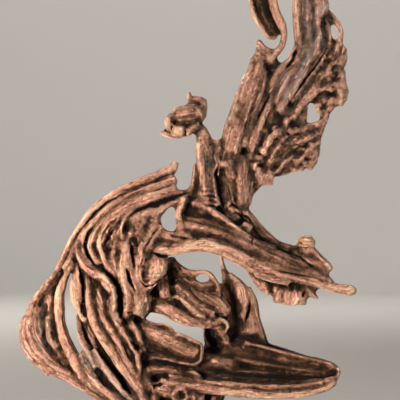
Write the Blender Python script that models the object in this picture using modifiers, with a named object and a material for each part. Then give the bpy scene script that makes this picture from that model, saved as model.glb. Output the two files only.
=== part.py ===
"""A driftwood horse head: one weathered root that stands on a low oval base.

The root is built from the limbs that its grain flows along. Each limb is a lofted rod of
changing width and depth. The limbs are fused into one solid and sawn flat where they meet
the base. Seen along +Y, the head looks to +X with its mouth open, the mane flows to -X and
the crest rises above. The origin is the centre of the base's underside.
"""

import math

import bmesh
import bpy
from mathutils import Vector

# Driving dimensions, in metres
WOOD_HEIGHT = 0.900
BASE_LENGTH = 0.330
BASE_WIDTH = 0.230
BASE_THICKNESS = 0.036
BASE_EDGE_ROUND = 0.007
SEAT_GAP = 0.0003

# How the root is drawn: its limbs are in millimetres for a root of the drawn height, whose
# sawn foot is at the drawn foot, and they all scale with the real height. The middle of the
# base lies under the drawn centre
DRAWN_HEIGHT = 900.0
DRAWN_FOOT = 36.0
DRAWN_CENTRE = 15.0

# How finely the solid is made
LIMB_SIDES = 10
STATION_SPACING = 9.0
FUSE_SHARE = 0.0043
SMOOTH_PASSES = 2
WOOD_TRIANGLES = 8900
BASE_SIDES = 56
BASE_ROUND_STEPS = 3

# How far the root leaves the plane of the drawing, in drawn millimetres: the mane curls
# away on the left, the crest leans back and the muzzle turns a little to the front
MANE_CURL, MANE_CURL_FROM, MANE_CURL_SPAN = 62.0, -70.0, 235.0
CREST_LEAN, CREST_LEAN_FROM, CREST_LEAN_SPAN = 52.0, 540.0, 380.0
MUZZLE_TURN, MUZZLE_TURN_FROM, MUZZLE_TURN_SPAN = -26.0, 150.0, 200.0

# The reverse of the root repeats its main limbs, turned about this depth and flatter, and
# stops short of the muzzle's tip
REVERSE_PLANE = -6.0
REVERSE_RELIEF = 0.8
REVERSE_END = 300.0

# The limbs, region by region. Each limb is its path from end to end, and each point is
# (across, up, depth, half width, half depth). Depth grows away from the front.
MANE = {
    "outer_rim": [
        (12, 564, -8, 6, 10), (2, 550, -10, 12, 13), (-25, 537, -12, 11, 14), (-60, 524, -14, 10, 14),
        (-95, 508, -16, 9, 14), (-125, 491, -18, 9, 14), (-150, 470, -18, 10, 14),
        (-170, 447, -14, 9, 14), (-187, 424, -6, 7, 14), (-201, 398, 4, 8, 16), (-213, 372, 10, 8, 16),
        (-226, 345, 12, 8, 14), (-240, 322, 10, 7, 12), (-252, 300, 6, 7, 12),
    ],
    "second_band": [
        (8, 530, -20, 9, 10), (-25, 517, -26, 9, 12), (-60, 504, -28, 9, 12), (-95, 490, -30, 9, 12),
        (-122, 472, -32, 9, 12), (-146, 450, -30, 9, 12), (-168, 425, -24, 8, 12),
        (-184, 400, -14, 8, 12), (-197, 375, -6, 8, 12), (-210, 352, -2, 7, 12),
    ],
    "third_band": [
        (10, 515, -26, 7, 9), (-25, 502, -36, 8, 11), (-58, 492, -38, 8, 11), (-88, 478, -40, 8, 11),
        (-112, 460, -42, 8, 11), (-134, 440, -42, 8, 11), (-150, 418, -38, 8, 11),
        (-158, 398, -36, 7, 11), (-152, 378, -38, 7, 11), (-140, 364, -40, 6, 10),
    ],
    "fourth_band": [
        (38, 508, -20, 2, 4), (18, 505, -24, 5, 7), (-10, 497, -32, 6, 9), (-40, 487, -38, 7, 10),
        (-70, 476, -42, 6, 10), (-95, 462, -46, 6, 10), (-115, 445, -50, 7, 11), (-130, 425, -52, 7, 11),
        (-138, 402, -50, 7, 11), (-132, 382, -50, 7, 11), (-124, 362, -48, 7, 11),
        (-114, 345, -46, 6, 10),
    ],
    "inner_rim": [
        (-40, 481, -30, 3, 6), (-62, 473, -38, 4, 8), (-80, 462, -46, 4, 8), (-91, 446, -52, 4, 8),
        (-95, 428, -54, 4, 8), (-93, 410, -52, 3, 7),
    ],
    "inner_lock": [
        (-100, 452, -36, 6, 9), (-116, 432, -42, 6, 9), (-122, 408, -44, 6, 9), (-118, 385, -44, 5, 8),
        (-112, 365, -42, 5, 8),
    ],
    "long_ridge": [
        (-186, 398, -16, 7, 12), (-178, 375, -24, 8, 12), (-164, 355, -34, 9, 12),
        (-145, 342, -44, 10, 13), (-124, 330, -52, 10, 13), (-110, 312, -58, 9, 13),
        (-108, 290, -60, 9, 13), (-112, 270, -60, 8, 12), (-104, 248, -60, 7, 11), (-90, 225, -60, 7, 11),
        (-76, 203, -58, 6, 11), (-65, 182, -56, 7, 11), (-61, 160, -54, 7, 10), (-60, 142, -52, 5, 8),
    ],
    "broad_lock": [
        (-163, 340, -26, 7, 12), (-162, 312, -34, 9, 13), (-158, 282, -40, 10, 14),
        (-150, 255, -44, 12, 14), (-136, 228, -46, 13, 14), (-120, 202, -48, 13, 14),
        (-104, 178, -48, 12, 14), (-88, 153, -48, 11, 14), (-72, 130, -46, 10, 13),
        (-56, 105, -44, 10, 13), (-42, 78, -40, 11, 14),
    ],
    "second_lock": [
        (-136, 330, -40, 7, 11), (-138, 305, -46, 8, 12), (-134, 278, -50, 9, 12),
        (-126, 252, -54, 9, 12), (-112, 228, -56, 9, 12), (-99, 204, -56, 8, 12), (-88, 180, -54, 8, 12),
        (-77, 158, -52, 8, 11), (-64, 136, -50, 8, 11), (-52, 114, -46, 8, 11),
    ],
    "almond": [
        (-187, 350, -14, 2, 5), (-190, 330, -22, 8, 10), (-190, 308, -26, 10, 11),
        (-186, 285, -28, 9, 11), (-178, 264, -30, 6, 10), (-170, 250, -32, 5, 9),
    ],
    "bar": [
        (-192, 364, -10, 4, 8), (-204, 347, -12, 6, 10), (-214, 325, -14, 8, 12), (-221, 300, -16, 9, 13),
        (-222, 270, -18, 10, 14), (-219, 240, -20, 10, 14), (-212, 213, -22, 11, 14),
        (-201, 188, -24, 12, 14), (-187, 163, -26, 12, 14), (-170, 140, -28, 12, 14),
        (-148, 121, -30, 12, 14), (-122, 105, -32, 12, 14), (-96, 90, -32, 12, 14),
        (-74, 70, -30, 13, 15), (-62, 48, -26, 14, 16),
    ],
    "flap": [
        (-236, 340, 2, 4, 10), (-248, 320, 2, 7, 11), (-262, 300, 2, 9, 12), (-273, 280, 0, 11, 13),
        (-281, 255, -4, 13, 14),
    ],
    "lobe": [
        (-272, 268, -6, 16, 15), (-276, 238, -10, 28, 18), (-270, 208, -12, 34, 18),
        (-254, 182, -14, 32, 18), (-234, 162, -16, 24, 16), (-208, 143, -18, 16, 15),
        (-180, 125, -20, 13, 14), (-152, 108, -22, 12, 14), (-126, 92, -22, 12, 14),
        (-104, 74, -20, 13, 14), (-88, 52, -18, 14, 15),
    ],
    "lobe_toe": [(-262, 172, -12, 12, 12), (-250, 152, -14, 10, 11), (-243, 142, -14, 8, 9)],
    "lobe_ridge": [
        (-245, 255, -24, 5, 7), (-243, 232, -27, 6, 8), (-240, 212, -30, 7, 8), (-228, 198, -30, 6, 8),
    ],
    "low_lock": [
        (-176, 184, -26, 5, 8), (-168, 162, -30, 8, 10), (-156, 140, -34, 9, 11), (-140, 120, -36, 9, 11),
        (-120, 103, -36, 9, 11), (-100, 86, -36, 9, 11),
    ],
    "splinter": [
        (-187, 252, -16, 2, 3), (-183, 234, -20, 4, 6), (-177, 213, -24, 7, 9), (-169, 195, -28, 7, 10),
        (-158, 178, -30, 7, 10), (-146, 160, -34, 7, 10),
    ],
    "low_lock_right": [
        (-150, 192, -32, 5, 9), (-139, 172, -36, 7, 10), (-126, 152, -40, 8, 11), (-111, 134, -42, 8, 11),
        (-94, 115, -42, 8, 11), (-77, 97, -42, 8, 11), (-62, 78, -40, 9, 12),
    ],
    "sunken_lock": [
        (-172, 248, -14, 8, 10), (-160, 222, -18, 9, 10), (-144, 198, -20, 10, 10),
        (-124, 174, -22, 9, 10), (-106, 150, -22, 8, 10), (-88, 128, -22, 8, 10),
    ],
}

CHEEK = {
    "top_fold": [
        (-76, 436, -46, 7, 10), (-68, 452, -48, 10, 12), (-45, 460, -46, 12, 12), (-22, 467, -42, 10, 12),
        (-4, 480, -36, 6, 10), (15, 487, -32, 5, 9), (32, 494, -28, 7, 10),
    ],
    "first_rib": [
        (-28, 452, -46, 9, 11), (-34, 432, -52, 10, 12), (-44, 412, -56, 9, 12), (-54, 393, -58, 8, 12),
        (-61, 372, -60, 7, 11), (-65, 350, -60, 6, 11), (-62, 328, -60, 6, 10), (-54, 310, -58, 7, 10),
        (-50, 292, -56, 9, 10),
    ],
    "bridge": [
        (35, 415, -48, 14, 14), (10, 414, -50, 13, 14), (-12, 420, -50, 11, 13), (-30, 432, -48, 9, 12),
    ],
    "plate": [
        (-18, 374, -50, 12, 9), (-25, 358, -54, 17, 10), (-32, 342, -56, 16, 10), (-40, 326, -58, 9, 9),
        (-44, 310, -58, 8, 9),
    ],
    "plate_rim": [
        (-48, 380, -58, 4, 7), (-56, 358, -62, 4, 7), (-58, 338, -64, 4, 7), (-52, 321, -64, 4, 7),
        (-40, 318, -63, 4, 7), (-26, 326, -60, 3, 6),
    ],
    "second_rib": [
        (-76, 402, -50, 6, 10), (-73, 380, -54, 6, 10), (-76, 355, -56, 6, 10), (-73, 330, -58, 7, 11),
        (-66, 306, -58, 9, 12), (-62, 284, -56, 12, 12), (-62, 268, -52, 11, 11),
    ],
    "third_rib": [
        (-93, 388, -54, 5, 9), (-96, 362, -58, 7, 11), (-94, 340, -60, 8, 11), (-86, 318, -58, 8, 12),
        (-82, 296, -54, 8, 12), (-84, 274, -50, 8, 11), (-86, 258, -46, 5, 9),
    ],
    "fourth_rib": [
        (-110, 400, -48, 6, 9), (-112, 376, -52, 6, 10), (-108, 352, -52, 6, 10), (-104, 334, -50, 5, 9),
    ],
    "fold_end": [(-70, 440, -46, 7, 9), (-79, 420, -50, 7, 10), (-88, 402, -52, 6, 10)],
    "fold_knot": [(-66, 446, -54, 7, 7), (-54, 446, -54, 7, 7)],
}

MUZZLE = {
    "brow": [
        (-34, 391, -54, 4, 7), (-12, 389, -58, 8, 10), (14, 392, -60, 10, 12), (45, 400, -62, 12, 14),
        (80, 400, -62, 14, 15), (110, 391, -60, 15, 15), (142, 376, -56, 17, 15), (178, 360, -50, 20, 15),
        (215, 349, -46, 20, 15), (250, 340, -42, 17, 14), (282, 330, -38, 13, 13),
        (308, 320, -36, 10, 11), (335, 314, -34, 10, 10), (358, 311, -33, 11, 10), (367, 311, -33, 7, 7),
    ],
    "jamb": [
        (28, 492, -34, 8, 11), (20, 470, -40, 9, 12), (20, 448, -46, 9, 12), (24, 428, -52, 9, 12),
        (40, 412, -56, 8, 12),
    ],
    "nose_strip": [
        (30, 440, -50, 9, 11), (60, 434, -54, 9, 11), (95, 425, -56, 9, 11), (130, 410, -54, 10, 12),
        (165, 392, -50, 11, 12), (205, 373, -46, 11, 12), (245, 357, -42, 10, 11), (285, 343, -38, 8, 10),
        (305, 334, -36, 6, 9),
    ],
    "upper_strip": [
        (35, 452, -44, 6, 9), (65, 447, -50, 6, 9), (98, 438, -52, 6, 9), (130, 425, -52, 7, 10),
        (160, 408, -48, 8, 10), (198, 388, -42, 9, 11), (235, 372, -38, 9, 11), (270, 358, -34, 8, 10),
        (298, 346, -32, 6, 9),
    ],
    "top_ridge": [
        (48, 482, -34, 7, 10), (74, 472, -42, 7, 10), (98, 457, -48, 7, 11), (122, 440, -50, 7, 11),
        (146, 422, -48, 7, 11), (172, 405, -42, 8, 11), (205, 392, -34, 9, 11),
    ],
    "rear_ridge": [
        (128, 478, 2, 14, 16), (148, 458, 0, 16, 18), (168, 436, -4, 15, 18), (190, 415, -8, 14, 18),
        (213, 396, -10, 13, 17), (236, 388, -12, 14, 16), (260, 382, -14, 13, 15),
        (284, 372, -16, 12, 14), (304, 360, -18, 11, 12), (316, 350, -18, 8, 9),
    ],
    "bump": [(148, 436, -32, 9, 9), (160, 428, -32, 9, 9)],
    "knob": [(256, 403, -22, 9, 12), (272, 403, -24, 14, 14), (284, 402, -22, 7, 11)],
    "knob_lip": [(258, 391, -28, 4, 6), (272, 388, -30, 5, 7), (286, 391, -28, 4, 6)],
    "upper_spur": [
        (286, 386, -24, 8, 10), (300, 371, -26, 8, 10), (313, 358, -26, 9, 10), (321, 350, -24, 5, 8),
    ],
    "tip_root": [(285, 350, -30, 10, 10), (304, 338, -30, 9, 10), (318, 326, -32, 7, 9)],
    "tooth_1": [(212, 322, -36, 6, 7), (213, 302, -36, 8, 8), (212, 287, -36, 7, 6)],
    "tooth_2": [(230, 318, -38, 7, 8), (231, 298, -38, 9, 8), (231, 284, -38, 8, 6)],
    "tooth_3": [(250, 316, -40, 8, 8), (252, 296, -40, 10, 8), (252, 281, -40, 8, 6)],
    "tooth_4": [(266, 314, -38, 8, 8), (266, 294, -38, 8, 8), (263, 279, -38, 7, 6)],
    "barb": [(272, 316, -36, 8, 8), (284, 302, -36, 6, 7), (296, 293, -36, 3, 4)],
    "fin": [
        (160, 356, -32, 10, 9), (176, 336, -32, 15, 9), (189, 317, -30, 13, 8), (197, 301, -30, 5, 5),
    ],
    "lower_edge": [(170, 340, -54, 3, 5), (200, 331, -52, 3, 5), (235, 323, -50, 3, 5)],
}

NECK = {
    "column": [
        (64, 634, -8, 8, 9), (68, 606, -10, 17, 15), (72, 575, -12, 20, 17), (74, 545, -14, 20, 18),
        (72, 515, -18, 22, 20), (70, 488, -22, 26, 22), (70, 462, -26, 26, 22),
    ],
    "column_ridge": [
        (60, 600, -20, 7, 8), (62, 570, -24, 8, 9), (66, 540, -28, 9, 10), (70, 510, -32, 10, 10),
        (74, 485, -36, 9, 10),
    ],
    "left_flare": [
        (50, 560, -10, 5, 9), (50, 535, -14, 7, 10), (45, 512, -18, 8, 11), (36, 490, -24, 9, 11),
        (30, 465, -30, 9, 12),
    ],
    "right_ridge": [
        (94, 606, -10, 8, 10), (96, 586, -16, 11, 11), (93, 560, -22, 9, 10), (90, 530, -26, 7, 10),
        (92, 505, -30, 7, 10), (94, 480, -34, 7, 10),
    ],
}

CREST = {
    "rail": [
        (178, 808, 0, 7, 9), (183, 782, -2, 15, 13), (174, 742, -4, 24, 16), (160, 702, -6, 27, 17),
        (146, 662, -8, 28, 18), (132, 622, -10, 27, 18), (122, 585, -10, 24, 18), (120, 550, -10, 20, 17),
        (124, 515, -8, 19, 16), (130, 485, -6, 18, 15), (138, 462, -6, 14, 14),
    ],
    "rail_left_ridge": [
        (165, 775, -14, 4, 6), (158, 740, -18, 6, 7), (146, 700, -20, 7, 8), (134, 662, -22, 7, 8),
        (120, 625, -22, 7, 8), (112, 595, -20, 7, 8),
    ],
    "rail_right_ridge": [
        (190, 745, -14, 6, 7), (180, 705, -18, 7, 8), (168, 665, -20, 7, 8), (156, 630, -22, 8, 8),
        (146, 598, -22, 8, 8),
    ],
    "tail_edge": [
        (165, 575, -6, 12, 12), (160, 545, -6, 14, 14), (158, 515, -6, 12, 14), (154, 490, -4, 9, 12),
        (150, 474, -2, 6, 9),
    ],
    "tail_ridge": [
        (140, 560, -18, 8, 9), (138, 530, -20, 8, 9), (140, 505, -18, 7, 8), (142, 484, -16, 6, 8),
    ],
    "horn_rim": [
        (196, 932, -2, 5, 7), (206, 895, -4, 9, 10), (214, 866, -6, 10, 10), (225, 840, -8, 9, 10),
        (229, 818, -8, 7, 9), (224, 798, -8, 7, 9), (212, 785, -8, 8, 10), (199, 772, -8, 12, 12),
    ],
    "horn_web": [
        (180, 922, 8, 10, 5), (182, 892, 8, 18, 6), (190, 862, 8, 18, 6), (200, 838, 6, 14, 6),
        (210, 816, 4, 8, 5),
    ],
    "horn_left_rim": [
        (166, 915, 4, 4, 6), (163, 890, 3, 5, 6), (169, 866, 2, 5, 6), (178, 845, 2, 5, 6),
        (190, 829, 2, 4, 5), (200, 815, 0, 4, 5),
    ],
    "saddle": [(178, 806, -6, 5, 7), (190, 792, -8, 7, 8), (206, 786, -8, 7, 8), (220, 787, -8, 6, 8)],
    "slab_left": [
        (256, 925, 6, 8, 9), (256, 892, 4, 10, 10), (256, 858, 2, 10, 11), (258, 825, 0, 10, 11),
        (259, 797, -4, 11, 12), (244, 770, -8, 11, 12), (226, 750, -10, 12, 12), (209, 728, -12, 9, 11),
        (203, 704, -14, 7, 10),
    ],
    "slab_middle": [
        (276, 935, 8, 8, 9), (275, 895, 4, 11, 11), (275, 858, 0, 11, 12), (277, 822, -4, 11, 12),
        (270, 790, -8, 11, 12), (255, 760, -12, 12, 12), (238, 733, -16, 12, 12), (224, 708, -18, 10, 12),
        (214, 684, -18, 8, 10),
    ],
    "slab_right": [
        (296, 925, 8, 9, 9), (295, 890, 4, 11, 11), (296, 856, -2, 10, 12), (300, 820, -8, 9, 12),
        (293, 790, -12, 9, 12), (277, 764, -14, 9, 12), (262, 738, -18, 10, 12), (247, 712, -20, 10, 12),
        (232, 690, -20, 9, 11), (220, 668, -18, 8, 10),
    ],
    "top_knob": [(300, 896, -6, 12, 12), (306, 878, -10, 15, 13), (302, 862, -8, 11, 11)],
    "thin_bar": [
        (316, 870, 0, 6, 8), (332, 852, 0, 6, 7), (343, 834, -2, 5, 7), (343, 815, -4, 5, 7),
        (336, 795, -6, 8, 9), (322, 774, -8, 10, 10),
    ],
    "slit_strip": [
        (308, 860, -2, 7, 8), (318, 838, -4, 5, 7), (321, 816, -6, 5, 8), (316, 796, -8, 7, 9),
        (304, 776, -8, 8, 9),
    ],
    "flank": [
        (346, 792, 0, 11, 11), (340, 770, -2, 16, 12), (322, 750, -6, 18, 12), (302, 728, -10, 17, 12),
        (282, 706, -12, 14, 12), (264, 688, -14, 11, 11), (250, 670, -14, 9, 10), (240, 650, -14, 8, 10),
    ],
    "flank_ridge": [
        (345, 712, -4, 11, 11), (325, 716, -8, 12, 11), (300, 710, -14, 10, 10), (278, 692, -18, 8, 9),
        (258, 672, -20, 7, 9), (245, 652, -20, 7, 9),
    ],
    "burl_lobe": [
        (340, 745, 0, 13, 12), (342, 722, -2, 14, 13), (342, 700, -4, 15, 13), (336, 686, -4, 13, 12),
    ],
    "eye_top": [(276, 692, -10, 9, 8), (300, 694, -8, 11, 9), (322, 684, -6, 13, 10)],
    "eye_right": [
        (330, 688, -4, 12, 10), (317, 671, -6, 9, 9), (307, 650, -6, 9, 9), (299, 630, -8, 10, 9),
        (294, 610, -10, 9, 9), (290, 588, -10, 9, 9), (284, 565, -10, 9, 9),
    ],
    "eye_drop": [(300, 684, -8, 8, 6), (296, 672, -10, 7, 6), (298, 665, -10, 5, 5)],
    "eye_bottom": [(258, 624, -16, 14, 9), (278, 632, -14, 10, 8), (298, 642, -12, 7, 7)],
    "eye_left": [(264, 688, -14, 12, 9), (261, 667, -12, 14, 9), (258, 642, -14, 14, 9)],
    "burl_1": [
        (300, 620, -14, 6, 7), (278, 612, -18, 6, 8), (252, 608, -20, 6, 8), (222, 602, -20, 6, 8),
    ],
    "burl_2": [
        (298, 602, -14, 6, 7), (272, 596, -18, 6, 8), (244, 588, -20, 7, 8), (220, 575, -18, 7, 8),
        (200, 562, -16, 7, 8),
    ],
    "burl_3": [
        (293, 582, -12, 7, 8), (270, 576, -16, 7, 8), (246, 566, -18, 7, 8), (222, 552, -16, 8, 9),
        (204, 536, -14, 8, 9),
    ],
    "burl_4": [(284, 558, -10, 8, 8), (266, 558, -12, 7, 8), (248, 554, -12, 6, 7)],
    "burl_toe_1": [(248, 554, -10, 5, 6), (246, 545, -10, 4, 5)],
    "burl_toe_2": [(264, 556, -10, 5, 6), (262, 547, -10, 4, 5)],
    "burl_toe_3": [(283, 556, -10, 5, 6), (279, 549, -10, 4, 5)],
    "burl_heel": [(200, 542, -12, 12, 12), (190, 530, -10, 10, 11), (206, 526, -8, 6, 7)],
    "burl_lumps": [
        (222, 628, -20, 8, 8), (206, 616, -22, 9, 9), (196, 600, -22, 9, 9), (186, 584, -22, 8, 8),
    ],
    "burl_inner": [(172, 560, -18, 9, 10), (180, 540, -16, 10, 10), (186, 526, -12, 8, 9)],
}

KNOB = {
    "head": [
        (-8, 640, -12, 11, 12), (12, 652, -14, 20, 17), (34, 660, -14, 20, 17), (54, 662, -12, 17, 15),
        (62, 652, -10, 9, 11),
    ],
    "crown": [(58, 655, -10, 12, 12), (63, 676, -8, 11, 11), (66, 689, -6, 8, 8)],
    "ear": [(44, 682, -8, 8, 8), (39, 697, -6, 5, 6), (38, 706, -5, 3, 4)],
    "saddle": [(50, 688, -8, 7, 7), (62, 690, -8, 7, 7)],
    "lip": [
        (-20, 626, -10, 3, 4), (-8, 620, -14, 4, 6), (10, 618, -16, 5, 7), (28, 619, -16, 5, 6),
        (38, 622, -14, 5, 6),
    ],
    "chin": [(12, 627, -24, 8, 8), (24, 627, -24, 8, 8)],
    "cheek": [(-6, 654, -22, 7, 8), (-4, 640, -24, 7, 8)],
    "throat": [(40, 634, -12, 9, 9), (54, 636, -10, 10, 10), (66, 628, -8, 10, 10)],
}

TONGUE = {
    "upper": [
        (2, 374, -18, 8, 8), (10, 352, -20, 14, 10), (28, 328, -22, 17, 11), (52, 306, -26, 19, 12),
        (78, 291, -28, 20, 13), (98, 278, -28, 18, 13), (112, 268, -24, 12, 11),
    ],
    "rim": [
        (12, 360, -22, 8, 8), (32, 346, -26, 8, 8), (50, 344, -28, 7, 6), (66, 348, -30, 4, 6),
        (80, 342, -30, 6, 6), (88, 329, -30, 7, 6), (97, 317, -30, 6, 7),
    ],
    "root": [
        (-2, 368, -22, 8, 10), (-12, 345, -26, 12, 12), (-14, 322, -28, 16, 12), (-12, 300, -28, 16, 12),
    ],
    "rim_inside": [
        (36, 334, -24, 8, 8), (50, 326, -26, 6, 8), (64, 319, -28, 7, 8), (82, 322, -28, 8, 8),
    ],
    "rim_foot": [(58, 314, -24, 6, 7), (80, 314, -26, 7, 8), (98, 310, -28, 8, 9)],
    "ridge": [
        (10, 301, -34, 3, 5), (24, 291, -38, 4, 6), (40, 276, -42, 4, 6), (56, 264, -44, 4, 6),
        (70, 259, -42, 3, 5),
    ],
    "lower": [
        (-40, 279, -30, 13, 10), (-14, 276, -32, 14, 11), (12, 264, -34, 15, 11), (40, 252, -36, 14, 11),
        (66, 250, -36, 11, 10), (92, 246, -34, 10, 10), (106, 243, -32, 7, 8),
    ],
    "lower_edge": [
        (10, 258, -38, 4, 6), (30, 248, -40, 4, 6), (55, 241, -40, 4, 6), (80, 239, -38, 4, 6),
    ],
    "curl": [(98, 252, -40, 4, 5), (110, 248, -42, 4, 6), (115, 239, -42, 4, 6), (110, 229, -40, 3, 5)],
    "drip_1": [(70, 240, -22, 5, 6), (72, 224, -18, 5, 6), (78, 200, -14, 5, 6)],
    "drip_2": [(92, 240, -24, 5, 6), (90, 220, -20, 5, 6), (94, 198, -16, 5, 6)],
}

BACK_COLUMN = {
    "blade": [
        (98, 414, -12, 5, 8), (101, 390, 6, 3, 6), (106, 356, 12, 5, 7), (115, 330, 14, 11, 10),
        (125, 300, 16, 18, 12), (131, 270, 16, 20, 13), (137, 242, 14, 24, 14), (142, 215, 10, 28, 15),
        (148, 190, 6, 30, 16),
    ],
    "right_strand": [
        (157, 313, 12, 6, 8), (167, 284, 12, 9, 9), (172, 252, 12, 9, 10), (178, 228, 10, 11, 11),
        (184, 206, 8, 12, 12),
    ],
    "left_ridge": [(112, 330, 4, 4, 6), (120, 295, 2, 5, 7), (124, 265, 0, 5, 7), (128, 240, 0, 6, 8)],
    "middle_ridge": [(138, 318, 8, 5, 6), (144, 285, 6, 6, 7), (146, 255, 4, 6, 8), (150, 230, 2, 7, 8)],
}

JAW = {
    "broken_plate": [
        (-66, 240, -36, 9, 9), (-40, 226, -38, 16, 10), (-8, 212, -40, 21, 11), (24, 197, -42, 23, 11),
        (48, 188, -42, 21, 11),
    ],
    "plate_edge": [
        (16, 224, -44, 4, 7), (42, 213, -46, 4, 7), (61, 203, -46, 4, 8), (63, 188, -46, 4, 8),
        (60, 172, -46, 4, 7), (44, 165, -46, 4, 7), (18, 167, -44, 4, 7),
    ],
    "plate_root": [
        (-78, 252, -44, 5, 8), (-70, 238, -48, 6, 9), (-62, 224, -48, 5, 8), (-56, 208, -46, 5, 8),
    ],
    "plate_top": [
        (-52, 250, -34, 4, 6), (-30, 242, -36, 4, 6), (-8, 240, -38, 5, 6), (6, 230, -40, 4, 6),
    ],
    "slab": [
        (100, 196, -2, 24, 20), (145, 190, 0, 30, 22), (190, 178, 2, 27, 22), (230, 170, 2, 22, 20),
        (270, 163, 0, 18, 18), (303, 159, -4, 15, 15), (325, 154, -8, 11, 12), (333, 152, -10, 6, 8),
    ],
    "slab_top_ridge": [
        (150, 205, -18, 5, 7), (190, 195, -18, 5, 7), (235, 182, -16, 5, 7), (280, 172, -14, 4, 6),
        (320, 163, -14, 3, 5),
    ],
    "slab_low_ridge": [
        (130, 175, -20, 5, 6), (200, 162, -22, 5, 6), (270, 152, -20, 4, 6), (310, 146, -18, 4, 6),
    ],
    "slab_bump": [(204, 173, -20, 4, 5), (225, 172, -20, 6, 6), (242, 168, -18, 4, 5)],
    "tip": [(334, 156, -14, 4, 7), (335, 147, -18, 4, 8), (328, 136, -26, 5, 9), (325, 125, -34, 5, 8)],
    "trough": [
        (70, 152, -16, 7, 8), (120, 142, -18, 7, 8), (170, 136, -20, 7, 8), (220, 130, -24, 7, 8),
        (262, 127, -30, 7, 8), (298, 130, -36, 6, 8), (324, 136, -34, 5, 8),
    ],
    "lip": [
        (-15, 126, -50, 11, 12), (35, 121, -54, 11, 12), (85, 115, -56, 10, 12), (135, 110, -56, 10, 12),
        (185, 106, -54, 9, 12), (232, 105, -52, 8, 12), (276, 110, -48, 8, 11), (308, 118, -44, 7, 10),
        (326, 128, -38, 6, 9),
    ],
    "lip_edge": [
        (0, 140, -48, 6, 8), (45, 133, -50, 5, 8), (95, 128, -52, 5, 8), (150, 122, -52, 5, 8),
        (205, 119, -50, 5, 7), (255, 120, -46, 5, 7), (300, 128, -42, 4, 7),
    ],
    "upper_layer": [
        (-52, 178, -40, 8, 9), (-20, 178, -40, 8, 9), (20, 167, -40, 7, 8), (56, 156, -36, 6, 7),
        (90, 150, -30, 5, 7),
    ],
    "lower_layer": [
        (-48, 152, -44, 8, 9), (-5, 152, -44, 8, 9), (38, 143, -42, 7, 8), (62, 138, -40, 4, 6),
    ],
    "corner": [(-60, 190, -52, 6, 8), (-62, 170, -54, 6, 8), (-60, 152, -54, 5, 7)],
    "chip": [(34, 147, -46, 4, 5), (48, 147, -48, 4, 5), (60, 139, -48, 3, 3)],
}

ROOT = {
    "front_swell": [
        (-30, 118, -48, 12, 12), (0, 110, -52, 13, 12), (32, 104, -54, 13, 12), (62, 98, -50, 12, 12),
    ],
    "knot": [
        (6, 104, -62, 4, 5), (14, 115, -63, 4, 5), (28, 114, -64, 4, 5), (34, 103, -64, 4, 5),
        (27, 93, -64, 4, 5), (13, 93, -63, 4, 5), (6, 103, -62, 4, 5),
    ],
    "knot_side": [(47, 108, -58, 5, 7), (47, 94, -60, 6, 8), (45, 80, -58, 6, 8)],
    "left_trunk": [
        (-62, 98, -14, 34, 36), (-50, 66, -10, 38, 40), (-44, 36, -8, 44, 46), (-44, 14, -8, 46, 48),
    ],
    "middle_trunk": [
        (20, 104, -14, 50, 36), (18, 66, -8, 46, 42), (20, 36, -4, 52, 50), (20, 14, -4, 54, 52),
    ],
    "right_trunk": [
        (84, 108, -10, 26, 30), (76, 70, -6, 26, 34), (74, 36, -4, 34, 38), (74, 14, -4, 36, 40),
    ],
    "toe_1": [
        (-104, 92, -26, 10, 12), (-90, 64, -36, 14, 16), (-93, 40, -46, 18, 20), (-97, 12, -52, 21, 23),
    ],
    "toe_2": [
        (-30, 98, -46, 10, 12), (-28, 66, -50, 14, 15), (-36, 40, -62, 18, 20), (-42, 12, -72, 22, 24),
    ],
    "toe_3": [(30, 94, -48, 10, 12), (34, 64, -52, 13, 14), (42, 40, -60, 17, 18), (50, 12, -70, 22, 22)],
    "toe_4": [
        (86, 100, -32, 9, 11), (92, 68, -40, 13, 14), (108, 42, -50, 18, 18), (122, 12, -58, 24, 22),
    ],
    "toe_5": [(-94, 88, 18, 12, 13), (-86, 60, 32, 15, 17), (-91, 38, 44, 18, 20), (-96, 12, 52, 21, 23)],
    "toe_6": [(-20, 94, 28, 14, 14), (-18, 62, 42, 16, 16), (-24, 38, 56, 20, 20), (-30, 12, 68, 24, 24)],
    "toe_7": [(48, 98, 26, 13, 14), (54, 64, 40, 15, 16), (70, 38, 54, 20, 20), (84, 12, 64, 25, 24)],
}

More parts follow.
